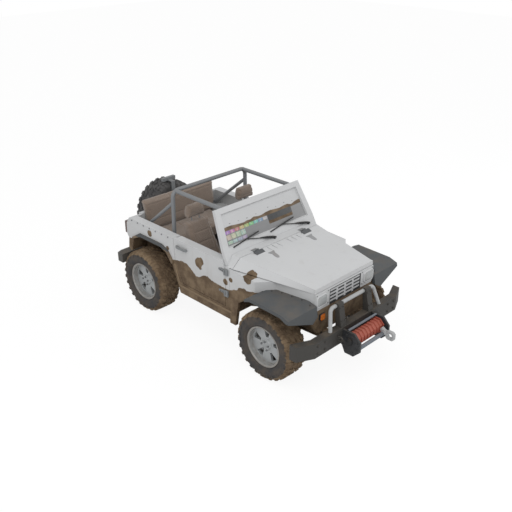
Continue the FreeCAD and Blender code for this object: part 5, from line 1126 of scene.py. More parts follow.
class OPENCAR_OT_tyres(PieceOperator, bpy.types.Operator):
    """Off-road tyres with lugs, shoulder blocks and ribbed sidewalls"""

    bl_idname = "opencar.tyres"
    bl_label = "Tyres"

    # The sidewall outside and inside: how far in from the tyre's face, and the radius
    OUTSIDE = (
        (0.052, 0.250), (0.039, 0.252), (0.036, 0.266), (0.022, 0.276), (0.010, 0.292),
        (0.008, 0.304), (0.003, 0.309), (0.002, 0.335), (0.006, 0.362), (0.011, 0.384),
        (0.026, 0.404),
    )
    INSIDE = ((0.062, 0.256), (0.040, 0.32), (0.075, 0.40))

    def build(self):
        low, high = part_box("tyre_front_right")
        half = (high[0] - low[0]) / 2
        radius = (high[2] - low[2]) / 2 - 0.0005
        floor = radius - sizes().lug_depth
        right = [(half - inwards, up) for inwards, up in self.OUTSIDE]
        right += [(half - 0.050, floor - 0.004), (half - 0.085, floor)]
        inside = [(half - inwards, up) for inwards, up in self.INSIDE]
        profile = right + [(0.0, floor + 0.001)] + [(-a, b) for a, b in reversed(right)]
        profile += [(-a, b) for a, b in inside] + [(a, b) for a, b in reversed(inside)]
        tyre = turned_ring("tyre_dressed", profile, 96)
        for side in (-1, 1):
            self.add_tread(tyre, side, half, radius, floor - 0.008)
        bpy.ops.object.mode_set(mode="OBJECT")
        for wheel, (body, axis, _) in WHEELS.items():
            twin = copy_of(tyre, "tread_" + wheel, at_wheel("tyre_" + wheel, axis))
            material = NODES["tyre_" + wheel].data.materials[0]
            finish_piece(twin, body, material, smooth=32)
            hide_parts("tyre_" + wheel)
        bpy.data.objects.remove(tyre)

    def add_tread(self, tyre, side, half, radius, foot):
        """The shoulder lugs, centre lugs and side biters of one side."""
        count = sizes().lugs
        pitch = math.tau / count
        offset = pitch / 2 if side > 0 else 0.0
        reach = side * (half - 0.040)
        shoulder = lug(side * 0.078, reach, pitch * 0.30, 0.02 * side, foot, radius, 0.004)
        add_block_ring(tyre, shoulder, count, offset)
        centre = lug(side * 0.012, side * 0.070, pitch * 0.33, 0.055 * side, foot, radius)
        add_block_ring(tyre, centre, count, offset + pitch * 0.22)
        bite = [
            (side * (half - inwards), turn * pitch * 0.24 * narrow, height)
            for narrow, heights in ((1.0, (0.372, 0.358)), (0.82, (radius - 0.012, 0.397)))
            for turn in (-1, 1)
            for inwards, height in zip((0.05, 0.001), heights)
        ]
        add_block_ring(tyre, bite, count, offset)


class OPENCAR_OT_wheel_nuts(PieceOperator, bpy.types.Operator):
    """Wheel nuts, five to a rim"""

    bl_idname = "opencar.wheel_nuts"
    bl_label = "Wheel nuts"

    def build(self):
        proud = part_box("rim_front_left")[1][0] - middle("rim_front_left").x
        place, turned = (proud - 0.030, 0, 0.055), (0, math.radians(90), 0)
        nuts = start("cylinder", "nuts", place, turned, vertices=6, radius=0.0125, depth=0.02)
        pick_all()
        bpy.ops.mesh.bevel(offset=0.002, segments=1, affect="EDGES")
        pick_all()
        spin(4, math.tau * 0.8, copies=True)
        bpy.ops.object.mode_set(mode="OBJECT")
        for wheel, (body, axis, side) in WHEELS.items():
            matrix = at_wheel("rim_" + wheel, axis, 180 if side < 0 else 0)
            finish_piece(copy_of(nuts, "wheel_nuts_" + wheel, matrix), body, "nut", smooth=25)
        bpy.data.objects.remove(nuts)


# Seats


def swell(pad):
    """Remeshes a pad and blows its cover up with a cloth simulation."""
    take(pad)
    size = sizes().voxel * 1.0
    modify(pad, "REMESH", mode="VOXEL", voxel_size=size)
    rest = [point.co.copy() for point in pad.data.vertices]
    blow_up(pad)
    cap = sizes().pad_cap
    for point, old in zip(pad.data.vertices, rest):
        moved = point.co - old
        if moved.length > cap:
            point.co = old + moved.normalized() * cap


def blow_up(pad):
    """Runs the cloth under pressure and keeps its last shape."""
    cloth = pad.modifiers.new("Cloth", "CLOTH")
    settings = {
        "quality": 4,
        "mass": 0.3,
        "tension_stiffness": 18,
        "compression_stiffness": 18,
        "shear_stiffness": 8,
        "bending_stiffness": 0.6,
        "use_pressure": True,
        "uniform_pressure_force": 4.0,
    }
    for key, value in settings.items():
        setattr(cloth.settings, key, value)
    cloth.settings.effector_weights.gravity = 0.0
    cloth.collision_settings.use_collision = False
    last = 20
    cloth.point_cache.frame_start = 1
    cloth.point_cache.frame_end = last
    scene = bpy.context.scene
    for step in range(1, last + 1):
        scene.frame_set(step)
    bpy.ops.object.modifier_apply(modifier=cloth.name)
    scene.frame_set(1)


def press_in(pad, seams, depth, width):
    """Presses sewn channels into a pad; each seam gives how far a point is from it."""
    for point in pad.data.vertices:
        gap = min(seam(point.co) for seam in seams)
        if gap < width * 3:
            inward = math.exp(-((gap / width) ** 2)) * depth
            point.co -= point.normal * inward


def soft(pad):
    """One subdivision and smooth shading, as the last step of a pad."""
    take(pad)
    bpy.ops.object.shade_smooth()
    modify(pad, "SUBSURF", levels=1, render_levels=1)


def cover(pad):
    """Gives a pad the seat cloth."""
    finish_piece(pad, "car", "cloth", smooth=180)


class OPENCAR_OT_front_seats(PieceOperator, bpy.types.Operator):
    """Front seats: swollen cushion, back and headrest with sewn channels"""

    bl_idname = "opencar.front_seats"
    bl_label = "Front seats"

    # Each pad's side outline, from the seat's front and base, and how much it narrows above
    # which share of its height
    PADS = {
        "cushion": (
            (
                (0.012, 0.030), (0.430, 0.014), (0.470, 0.060), (0.440, 0.140), (0.300, 0.136),
                (0.060, 0.156), (0.010, 0.120),
            ),
            (0.0, 0.0),
        ),
        "back": (
            (
                (0.395, 0.105), (0.500, 0.060), (0.560, 0.260), (0.690, 0.622), (0.660, 0.652),
                (0.600, 0.640), (0.460, 0.300),
            ),
            (0.26, 0.72),
        ),
        "headrest": (
            (
                (0.620, 0.672), (0.690, 0.672), (0.712, 0.730), (0.704, 0.822), (0.672, 0.842),
                (0.626, 0.836), (0.608, 0.750),
            ),
            (0.16, 0.2),
        ),
    }
    HEADREST_HALF = 0.136
    # The headrest's posts: their places across, their line, and their radius
    POSTS = (-0.065, 0.065)
    POST = ((0.630, 0.600), (0.645, 0.665), (0.662, 0.720))
    POST_RADIUS = 0.007
    # Where bands are sewn: along the cushion, up the back and up the headrest
    CUSHION_BANDS = (0.16, 0.30)
    BACK_BANDS = (0.24, 0.37, 0.50)
    HEADREST_BAND = 0.735
    SEAM_DEPTH = 0.006
    SEAM_WIDTH = 0.007

    def build(self):
        low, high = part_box("seat_front_left")
        self.front, self.base = low[1], low[2]
        self.middle = (low[0] + high[0]) / 2 + 0.02
        self.half = (high[0] - low[0]) / 2 + 0.012
        made = {label: self.pad(label, *pad) for label, pad in self.PADS.items()}
        shift = Matrix.Translation((-2 * self.middle, 0, 0))
        for side, place in (("left", Matrix.Identity(4)), ("right", shift)):
            for label, pad in made.items():
                twin = copy_of(pad, f"seat_{label}_{side}", place)
                cover(twin)
                if label == "cushion":
                    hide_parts("seat_front_" + side)
        for pad in made.values():
            bpy.data.objects.remove(pad)
        posts = []
        for across in self.POSTS:
            line = [(self.middle + across, self.front + y, self.base + z) for y, z in self.POST]
            posts.append(tube("post", line, self.POST_RADIUS))
        posts = both_sides_of("headrest_posts", joined("posts", posts))
        finish_piece(posts, "car", "fitting", smooth=60)

    def pad(self, label, outline, taper):
        """One swollen and sewn pad of the left seat."""
        outline = [(self.front + y, self.base + z) for y, z in outline]
        half = self.HEADREST_HALF if label == "headrest" else self.half - 0.018
        pad = settle(prism("seat_" + label, outline, -half, half, "x"))
        pad.data.transform(Matrix.Translation((self.middle, 0, 0)))
        self.taper(pad, *taper)
        swell(pad)
        press_in(pad, self.seams(label), self.SEAM_DEPTH, self.SEAM_WIDTH)
        soft(pad)
        return pad

    def taper(self, pad, narrow, begins):
        """Narrows a pad towards its top."""
        heights = [point.co.z for point in pad.data.vertices]
        low, high = min(heights), max(heights)
        for point in pad.data.vertices:
            share = max(0.0, (point.co.z - low) / (high - low) - begins) / (1 - begins)
            point.co.x = self.middle + (point.co.x - self.middle) * (1 - narrow * share)

    def seams(self, label):
        """Sewn channels: bolsters on the cushion and back, and bands between them."""
        front, base, inner = self.front, self.base, self.half * 0.56
        if label == "headrest":
            return [lambda p: abs(p.z - base - self.HEADREST_BAND)]

        def past(p):
            return max(0, abs(p.x - self.middle) - inner)

        seams = [
            lambda p: abs(abs(p.x - self.middle) - inner * (1 - 0.25 * max(0, p.z - base - 0.2)))
        ]
        if label == "cushion":
            bands = [lambda p, y=y: abs(p.y - front - y) + past(p) for y in self.CUSHION_BANDS]
        else:
            bands = [lambda p, z=z: abs(p.z - base - z) + past(p) for z in self.BACK_BANDS]
        return seams + bands


class OPENCAR_OT_bench(PieceOperator, bpy.types.Operator):
    """The rear bench: a swollen cushion and a leaning back with sewn panels"""

    bl_idname = "opencar.bench"
    bl_label = "Rear bench"

    # Side outlines: the place along from the bench's front, and the height
    CUSHION = (
        (0.012, 0.896), (0.540, 0.880), (0.566, 0.940), (0.560, 1.040), (0.300, 1.020),
        (0.020, 1.028),
    )
    BACK = (
        (0.516, 1.015), (0.606, 1.030), (0.628, 1.270), (0.688, 1.462), (0.668, 1.480),
        (0.640, 1.480), (0.600, 1.440),
    )
    CUSHION_HALF = 0.530
    BACK_HALF = 0.586
    SEAM_DEPTH = 0.007
    SEAM_WIDTH = 0.008
    # Where seams run: how far across, then how far along the cushion or how high up the back
    CUSHION_SEAMS = (0.185, 0.085)
    BACK_SEAMS = (0.19, (1.40, 1.18))
    # Where the back widens above the wheel houses and where its top corners are cut: from which
    # height, over how much height and by what share
    WIDER = (1.10, 0.07, 0.085)
    CUT = (1.435, 0.06, 0.07)

    def build(self):
        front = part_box("rear_bench")[0][1]
        cushion = self.pad("bench_cushion", front, self.CUSHION, self.CUSHION_HALF)
        across, along = self.CUSHION_SEAMS
        self.sew(cushion, [lambda p: abs(abs(p.x) - across), lambda p: abs(p.y - front - along)])
        back = self.pad("bench_back", front, self.BACK, self.BACK_HALF)
        for point in back.data.vertices:
            wider, cut = (self.share(point.co.z, *step) for step in (self.WIDER, self.CUT))
            point.co.x *= 1 + wider - cut
        side, heights = self.BACK_SEAMS
        seams = [lambda p: abs(abs(p.x) - side)]
        seams += [lambda p, height=height: abs(p.z - height) for height in heights]
        self.sew(back, seams)
        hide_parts("rear_bench")

    def share(self, height, foot, over, by):
        """How much of a step has come at a height."""
        return by * min(1.0, max(0.0, (height - foot) / over))

    def pad(self, name, front, outline, half):
        outline = [(front + y, z) for y, z in outline]
        pad = settle(prism(name, outline, -half, half, "x"))
        swell(pad)
        return pad

    def sew(self, pad, seams):
        press_in(pad, seams, self.SEAM_DEPTH, self.SEAM_WIDTH)
        soft(pad)
        cover(pad)


# Trim


class OPENCAR_OT_screen_trim(PieceOperator, bpy.types.Operator):
    """The windscreen's seal, stickers and dark panel"""

    bl_idname = "opencar.screen_trim"
    bl_label = "Windscreen trim"

    # Each row's finish, its lower and upper height up the screen, and how many stickers it has
    STICKERS = (
        ("sticker_top", 0.346, 0.385, 9),
        ("sticker_middle", 0.275, 0.335, 4),
        ("sticker_low", 0.222, 0.260, 4),
    )
    OUTLINE = ((-0.7165, 0.1935), (0.7165, 0.1935), (0.6675, 0.5995), (-0.6675, 0.5995))
    PANEL = (0.262, 0.330, 0.218, 0.057, 0.006)

    def build(self):
        seal = settle(rim_plate("screen_seal", self.OUTLINE, 0.011, PANE, PANE + 0.005), SCREEN)
        finish_piece(seal, "car", "seal", bevel=0.0015)
        for look, low, high, count in self.STICKERS:
            row = []
            for i in range(count):
                left = STICKER_PITCH * i + 0.003 - STICKER_START
                corners = octagon(left + 0.035, (low + high) / 2, 0.036, (high - low) / 2, 0.005)
                row.append(self.on_pane(f"{look}_{i}", corners, 0.0008))
            finish_piece(joined(look, row), "car", look)
        panel = self.on_pane("screen_panel", octagon(*self.PANEL), 0.0012)
        finish_piece(panel, "car", "panel", bevel=0.0004)

    def on_pane(self, name, corners, thick):
        """A thin plate stuck on the pane."""
        return settle(prism(name, corners, PANE - 0.0002, PANE + thick), SCREEN)


class OPENCAR_OT_lamps(PieceOperator, bpy.types.Operator):
    """Bezels and bowls for the lamps, and a blank number plate"""

    bl_idname = "opencar.lamps"
    bl_label = "Lamps"

    SLOT_PLACES = (-0.2195, -0.0730, 0.0730, 0.2195)
    SLOT_HEIGHTS = (0.962, 1.007, 1.052, 1.097)
    GUARD_HEIGHTS = (1.078, 1.132)
    # Outlines with cut corners: half the width, half the height and the corner
    BEZEL = (0.090, 0.074, 0.026)
    BOWL = (0.0775, 0.0615, 0.022)
    SLOT = (0.0570, 0.0100, 0.004)
    # The same, with the middle across and up before them
    GRILLE = (0, 1.043, 0.2895, 0.1028, 0.014)
    SIGNAL = (0.415, 0.838, 0.043, 0.043, 0.014)
    TAIL = (0.795, 1.1045, 0.041, 0.0845, 0.008)
    PLATE = (-0.66, 0.632, 0.125, 0.052, 0.008)
    # From front to back: the signals' bezels and the number plate
    SIGNAL_DEPTH = (-1.4760, -1.4515)
    PLATE_DEPTH = (1.8820, 1.8850)

    def build(self):
        self.headlamps()
        self.grille()
        self.signals()
        self.tail_guards()
        self.number_plate()

    def headlamps(self):
        low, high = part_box("headlamps")
        face = low[1]
        x, z = high[0] - 0.0837, (low[2] + high[2]) / 2
        corners = octagon(x, z, *self.BEZEL)
        bezel = settle(rim_plate("bezel", corners, 0.013, face - 0.004, face + 0.016, "y"))
        bezels = both_sides_of("headlamp_bezels", bezel)
        finish_piece(bezels, "car", "clean_paint", 0.003)
        corners = octagon(x, z, *self.BOWL)
        bowl = prism("bowl", corners, face - 0.002, face + 0.012, "y")
        pick(bowl, lambda normal: normal.y < -0.9)
        inset(0.013, (0, -0.004, 0))
        inset(0.013, (0, -0.002, 0))
        bowls = both_sides_of("headlamp_bowls", settle(bowl))
        finish_piece(bowls, "car", "headlamp", 0.001)

    def grille(self):
        """The black frame round the grille and the black slots in it."""
        corners = octagon(*self.GRILLE)
        front = GRILLE_FACE - 0.0060
        slots = [settle(rim_plate("grille", corners, 0.011, front, GRILLE_FACE, "y"))]
        for across in self.SLOT_PLACES:
            for up in self.SLOT_HEIGHTS:
                corners = octagon(across, up, *self.SLOT)
                front = GRILLE_FACE - 0.0012
                slots.append(settle(prism("slot", corners, front, GRILLE_FACE, "y")))
        finish_piece(joined("grille_slots", slots), "car", "black")

    def signals(self):
        corners = octagon(*self.SIGNAL)
        signal = settle(rim_plate("signal", corners, 0.007, *self.SIGNAL_DEPTH, "y"))
        signals = both_sides_of("signal_bezels", signal)
        finish_piece(signals, "car", "black", 0.002)

    def tail_guards(self):
        """A frame and two bars over each tail lamp."""
        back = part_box("marker_lamps")[1][1]
        corners = octagon(*self.TAIL)
        bars = [settle(rim_plate("tail", corners, 0.006, back, back + 0.006, "y"))]
        for up in self.GUARD_HEIGHTS:
            corners = rectangle(0.757, 0.833, up - 0.003, up + 0.003)
            bars.append(settle(prism("bar", corners, back - 0.001, back + 0.004, "y")))
        frames = both_sides_of("tail_frames", joined("tail_frame", bars))
        finish_piece(frames, "car", "black", 0.001)

    def number_plate(self):
        corners = octagon(*self.PLATE)
        plate = prism("number_plate", corners, *self.PLATE_DEPTH, "y")
        pick(plate, lambda normal: normal.y > 0.9)
        inset(0.006, (0, -0.0008, 0))
        finish_piece(settle(plate), "car", "white")


class OPENCAR_OT_winch_gear(PieceOperator, bpy.types.Operator):
    """The winch's forged hook and its front roller"""

    bl_idname = "opencar.winch_gear"
    bl_label = "Winch gear"

    # The hook's place across the car, its ring, and its shank as (along, up) corners
    ACROSS = (0.180, 0.220)
    RING = (-2.0105, 0.548, 0.058, 0.058, 0.024)
    SHANK = ((-1.955, 0.524), (-1.960, 0.580), (-1.890, 0.618), (-1.868, 0.590), (-1.880, 0.560))

    def build(self):
        corners = octagon(*self.RING)
        ring = settle(rim_plate("ring", corners, 0.026, *self.ACROSS, "x"))
        shank = settle(prism("shank", self.SHANK, *self.ACROSS, "x"))
        finish_piece(joined("forged_hook", [ring, shank]), "car", "tube", 0.004)
        place, turned = (0, -1.9065, 0.536), (0, math.radians(90), 0)
        roller = start("cylinder", "roller", place, turned, vertices=16, radius=0.0245, depth=0.516)
        pick(roller, lambda normal: abs(normal.x) > 0.9)
        inset(0.006)
        bpy.ops.transform.resize(value=(1.01, 1, 1))
        finish_piece(settle(roller), "car", "steel", 0.002)


class OPENCAR_OT_wiper_heads(PieceOperator, bpy.types.Operator):
    """The tapered heads of the wiper arms"""

    bl_idname = "opencar.wiper_heads"
    bl_label = "Wiper heads"

    # From each pivot: how far across, the place along and the height, then the relative thickness
    PIVOTS = (0.631, -0.010)
    LINE = (
        (0.020, -0.328, 1.341),
        (-0.004, -0.316, 1.346),
        (-0.062, -0.279, 1.348),
        (-0.130, -0.266, 1.361),
        (-0.200, -0.2545, 1.375),
    )
    SPREAD = (0.55, 1.0, 1.0, 0.85, 0.35)

    def build(self):
        heads = []
        for pivot in self.PIVOTS:
            line = [(pivot + across, along, up) for across, along, up in self.LINE]
            heads.append(tube("head", line, 0.017, self.SPREAD))
        finish_piece(joined("wiper_heads", heads), "car", "black", smooth=50)


class OPENCAR_OT_sill_strips(PieceOperator, bpy.types.Operator):
    """A rubbing strip along each sill and up the rear arch"""

    bl_idname = "opencar.sill_strips"
    bl_label = "Sill strips"

    OUTLINE = (
        (-0.395, 0.600), (0.600, 0.600), (0.700, 0.905), (0.668, 0.905), (0.578, 0.632),
        (-0.395, 0.632),
    )

    # From under the door's skin to outside it
    DEPTH = (0.8365, 0.8425)

    def build(self):
        strip = settle(prism("strip", self.OUTLINE, *self.DEPTH, "x"))
        finish_piece(both_sides_of("sill_strips", strip), "car", "strip", 0.0025)


class OPENCAR_OT_hood_pads(PieceOperator, bpy.types.Operator):
    """The two rubber pads on the back of the hood"""

    bl_idname = "opencar.hood_pads"
    bl_label = "Hood pads"

    OUTLINES = (
        (
            (-0.357, -0.535), (-0.331, -0.580), (-0.349, -0.655), (-0.338, -0.682),
            (-0.318, -0.690), (-0.300, -0.676), (-0.292, -0.655), (-0.278, -0.580),
            (-0.252, -0.535),
        ),
        (
            (0.331, -0.540), (0.353, -0.575), (0.346, -0.650), (0.356, -0.675), (0.374, -0.683),
            (0.392, -0.673), (0.401, -0.650), (0.412, -0.575), (0.444, -0.540),
        ),
    )

    def build(self):
        pads = [settle(prism("pad", outline, 0.0, 0.010)) for outline in self.OUTLINES]
        along, up = HOOD_BACK
        for pad in pads:
            for point in pad.data.vertices:
                ahead = along - point.co.y
                thinner = 0.35 + 0.65 * (1 - ahead / 0.28)
                point.co.z = up - ahead * HOOD_SLOPE + point.co.z * thinner
        finish_piece(joined("hood_pads", pads), "hood_lid", "pad", 0.003, 3)


def ring_of(x, centre, radius, angles):
    """Places round a point, in a plane across the X axis."""
    return [(x, centre[0] + radius * math.cos(a), centre[1] + radius * math.sin(a)) for a in angles]


# The ways that a ray may run to meet a part
TOWARDS = {"back": (0, 1, 0), "front": (0, -1, 0), "floor": (0, 0, -1), "right": (-1, 0, 0)}
# The winch's end plates: the axle as (along, up) and the radius that their bolts stand at
WINCH_AXLE = (-1.7825, 0.556)
WINCH_CIRCLE = 0.112
# The cage's feet on the left side as (across, along), and their bolts from each foot's middle
CAGE_FEET = ((0.655, 0.8925), (0.648, 1.535))
FOOT_BOLTS = [(CAGE_FEET[0][0] + x, CAGE_FEET[0][1] + y) for x in (-0.04, 0.04) for y in (-0.04, 0.04)]
# Bolt heads: their name, the part they stand on, the way of the rays that meet it, their radius,
# height and sides, their slot and finish, and where the rays start on the car's left side
BOLTS = (
    (
        "bumper_bolts", "front_bumper", "back", (0.013, 0.012, 6), "bumper_grey", "bumper",
        [(x, -2.0, z) for x in (0.60, 0.72) for z in (0.575, 0.672)],
    ),
    (
        "upright_bolts", "front_bumper", "back", (0.009, 0.009, 6), "bumper_grey", "bumper",
        [(0.258 + x, -2.0, z) for x in (-0.028, 0.028) for z in (0.80, 0.96)],
    ),
    (
        "flare_bolts", "front_flares", "floor", (0.007, 0.006, 6), "flare", "black",
        [
            (0.60, -1.31, 1.4), (0.625, -1.18, 1.4), (0.645, -1.04, 1.4), (0.70, -0.93, 1.4),
            (0.79, -0.865, 1.4), (0.60, -1.43, 1.4),
        ],
    ),
    (
        "rear_bumper_bolts", "rear_bumper", "front", (0.013, 0.012, 6), "bumper_grey", "nut",
        [(x, 2.2, z) for x in (0.86, 0.50) for z in (0.600, 0.668)],
    ),
    (
        "winch_bolts", "winch_frame", "right", (0.010, 0.010, 6), "winch_steel", "steel",
        ring_of(0.5, WINCH_AXLE, WINCH_CIRCLE, [math.radians(22.5 + 45 * i) for i in range(8)]),
    ),
    (
        "winch_caps", "winch_frame", "right", (0.040, 0.018, 16), "winch_steel", "black",
        [(0.5, WINCH_AXLE[0], 0.585)],
    ),
    (
        "shell_screws", "grille_shell", "back", (0.006, 0.004, 8), "body_grey", "nut",
        [(x, -1.9, z) for x in (0.318, 0.515) for z in (0.985, 1.142)],
    ),
    (
        "rail_studs", "body_tub", "right", (0.008, 0.006, 10), "body_grey", "nut",
        [(1.2, 0.80 + 0.13 * i, 1.243) for i in range(7)],
    ),
    (
        "foot_bolts", "body_tub", "floor", (0.008, 0.008, 6), "cage_grey", "nut",
        [(x, y, 1.25) for x, y in FOOT_BOLTS],
    ),
)


class OPENCAR_OT_bolts(PieceOperator, bpy.types.Operator):
    """Bolt heads, studs and screws where parts are fixed"""

    bl_idname = "opencar.bolts"
    bl_label = "Bolts"

    def build(self):
        for name, node, towards, head, slot, look, origins in BOLTS:
            rays = [(Vector(origin), Vector(TOWARDS[towards])) for origin in origins]
            flip = Vector((-1, 1, 1))
            rays += [(origin * flip, way * flip) for origin, way in rays]
            self.row(name, node, rays, head, slot, look, "car")
        for side, name in ((-1, "right"), (1, "left")):
            way = Vector((-side, 0, 0))
            places = [(side * 1.2, y, z) for y in (-0.245, -0.205) for z in (1.145, 0.855)]
            rays = [(Vector(place), way) for place in places]
            fittings, head = f"door_fittings_{name}", (0.008, 0.006, 6)
            self.row(f"strap_bolts_{name}", fittings, rays, head, "fitting_grey", "nut", f"{name}_door")

    def row(self, name, node, rays, head, slot, look, body):
        """One kind of bolt head at each place where a ray meets the part."""
        matrices = [standing_on(node, origin, way) for origin, way in rays]
        finish_piece(scattered(name, bolt(*head), matrices), body, look, smooth=30)


class OPENCAR_OT_cabin(PieceOperator, bpy.types.Operator):
    """Floor mats, pedals, gear levers, gauges and foot plates of the cage"""

    bl_idname = "opencar.cabin"
    bl_label = "Cabin"

    # A foot plate of the cage: half its width and length and its cut corner, then its heights
    PLATE = (0.062, 0.062, 0.016)
    PLATE_HEIGHTS = (1.0975, 1.1045)
    # Each lever's place, its top and how far it leans forward
    LEVERS = ((0.02, 0.20, 1.00, 0.05), (-0.09, 0.27, 0.90, 0.03))
    # Each pedal's place across and half its width
    PEDALS = ((0.30, 0.032), (0.40, 0.032), (0.49, 0.024))
    # Each gauge's place across, its height and its radius
    GAUGES = (
        (0.33, 1.165, 0.036),
        (0.43, 1.165, 0.036),
        (0.18, 1.150, 0.024),
        (0.11, 1.150, 0.024),
    )

    def build(self):
        mats = self.mat(-0.44) + self.mat(0.44)
        finish_piece(joined("floor_mats", mats), "car", "mat", 0.0015)
        self.levers()
        self.pedals()
        self.gauges()
        plates = [
            settle(prism("foot", octagon(side * x, y, *self.PLATE), *self.PLATE_HEIGHTS))
            for x, y in CAGE_FEET
            for side in (1, -1)
        ]
        finish_piece(joined("cage_feet", plates), "car", "cage", 0.002)

    def mat(self, x):
        """A floor mat with a raised edge and ribs."""
        mat = prism("mat", octagon(x, -0.07, 0.225, 0.20, 0.03), 0.6700, 0.6780)
        pick(mat, lambda normal: normal.z > 0.9)
        inset(0.018, (0, 0, -0.003))
        parts = [settle(mat)]
        for i in range(9):
            along = -0.235 + i * 0.041
            rib = rectangle(x - 0.19, x + 0.19, along, along + 0.014)
            parts.append(settle(prism("rib", rib, 0.6740, 0.6785)))
        return parts

    def levers(self):
        parts = []
        for x, y, top, lean in self.LEVERS:
            shape = {"vertices": 20, "radius1": 0.052, "radius2": 0.016, "depth": 0.07}
            parts.append(settle(start("cone", "boot", (x, y, 0.705), **shape)))
            stick = [(x, y, 0.70), (x, y - lean * 0.3, 0.82), (x, y - lean, top - 0.02)]
            parts.append(tube("stick", stick, 0.007))
            shape = {"segments": 16, "ring_count": 10, "radius": 0.023}
            parts.append(settle(start("uv_sphere", "knob", (x, y - lean, top), **shape)))
        finish_piece(joined("gear_levers", parts), "car", "black", smooth=60)

    def pedals(self):
        parts = []
        for x, half in self.PEDALS:
            corners = octagon(x, 0.775, half, 0.038, 0.008)
            parts.append(settle(prism("pedal", corners, -0.205, -0.193, "y")))
            arm = [(x, -0.205, 0.79), (x, -0.225, 0.90), (x, -0.290, 0.98)]
            parts.append(tube("arm", arm, 0.007))
        finish_piece(joined("pedals", parts), "car", "black", 0.001)

    def gauges(self):
        parts = []
        for x, z, radius in self.GAUGES:
            matrix = standing_on("dashboard", (x, 0.6, z), (0, -1, 0))
            ring = start("cylinder", "gauge", (0, 0, 0.004), vertices=28, radius=radius, depth=0.012)
            pick(ring, lambda normal: normal.z > 0.9)
            inset(0.005, (0, 0, -0.006))
            inset(radius * 0.5)
            parts.append(settle(ring, matrix))
        finish_piece(joined("gauges", parts), "car", "fitting", 0.001)


class OPENCAR_OT_underside(PieceOperator, bpy.types.Operator):
    """The exhaust and the four dampers"""

    bl_idname = "opencar.underside"
    bl_label = "Underside"

    EXHAUST = (
        (-0.20, -0.62, 0.60), (-0.22, -0.50, 0.50), (-0.34, -0.30, 0.485), (-0.47, -0.15, 0.50),
        (-0.47, 0.10, 0.545), (-0.47, 1.10, 0.550), (-0.48, 1.45, 0.555), (-0.49, 1.62, 0.515),
        (-0.50, 1.80, 0.512),
    )
    # The dampers' places across, then each one's place along and how far its head leans ahead
    DAMPERS_ACROSS = (-0.43, 0.43)
    DAMPERS_ALONG = ((-0.90, 0.03), (1.19, -0.03))
    DAMPER_FOOT, DAMPER_HEAD = 0.455, 0.625

    def build(self):
        pipe = tube("pipe", self.EXHAUST, 0.021)
        place, turned = (-0.47, 0.55, 0.545), (math.radians(90), 0, 0)
        shape = {"vertices": 28, "radius": 0.068, "depth": 0.50}
        silencer = settle(start("cylinder", "silencer", place, turned, **shape))
        exhaust = joined("exhaust", [pipe, silencer])
        finish_piece(exhaust, "car", "iron", 0.004)
        dampers = []
        for x, (y, lean) in ((x, row) for x in self.DAMPERS_ACROSS for row in self.DAMPERS_ALONG):
            foot = Vector((x, y, self.DAMPER_FOOT))
            head = Vector((x * 0.93, y - lean, self.DAMPER_HEAD))
            half = foot.lerp(head, 0.52)
            dampers.append(tube("damper_body", [foot, foot.lerp(half, 0.5), half], 0.026))
            dampers.append(tube("damper_rod", [half, half.lerp(head, 0.5), head], 0.012))
        finish_piece(joined("dampers", dampers), "car", "chassis", 0.002)


class OPENCAR_OT_filler(PieceOperator, bpy.types.Operator):
    """The fuel filler's cap on the left rear side"""

    bl_idname = "opencar.filler"
    bl_label = "Fuel filler"

    def build(self):
        matrix = standing_on("body_tub", (1.2, 0.98, 1.185), (-1, 0, 0))
        cap = start("cylinder", "filler", (0, 0, 0.006), vertices=40, radius=0.056, depth=0.012)
        pick(cap, lambda normal: normal.z > 0.9)
        inset(0.008, (0, 0, 0.003))
        inset(0.006, (0, 0, -0.003))
        add_primitive("cube", (0, 0, 0.014), scale=(0.060, 0.012, 0.008))
        finish_piece(settle(cap, matrix), "car", "fitting", 0.0015)


# The stage


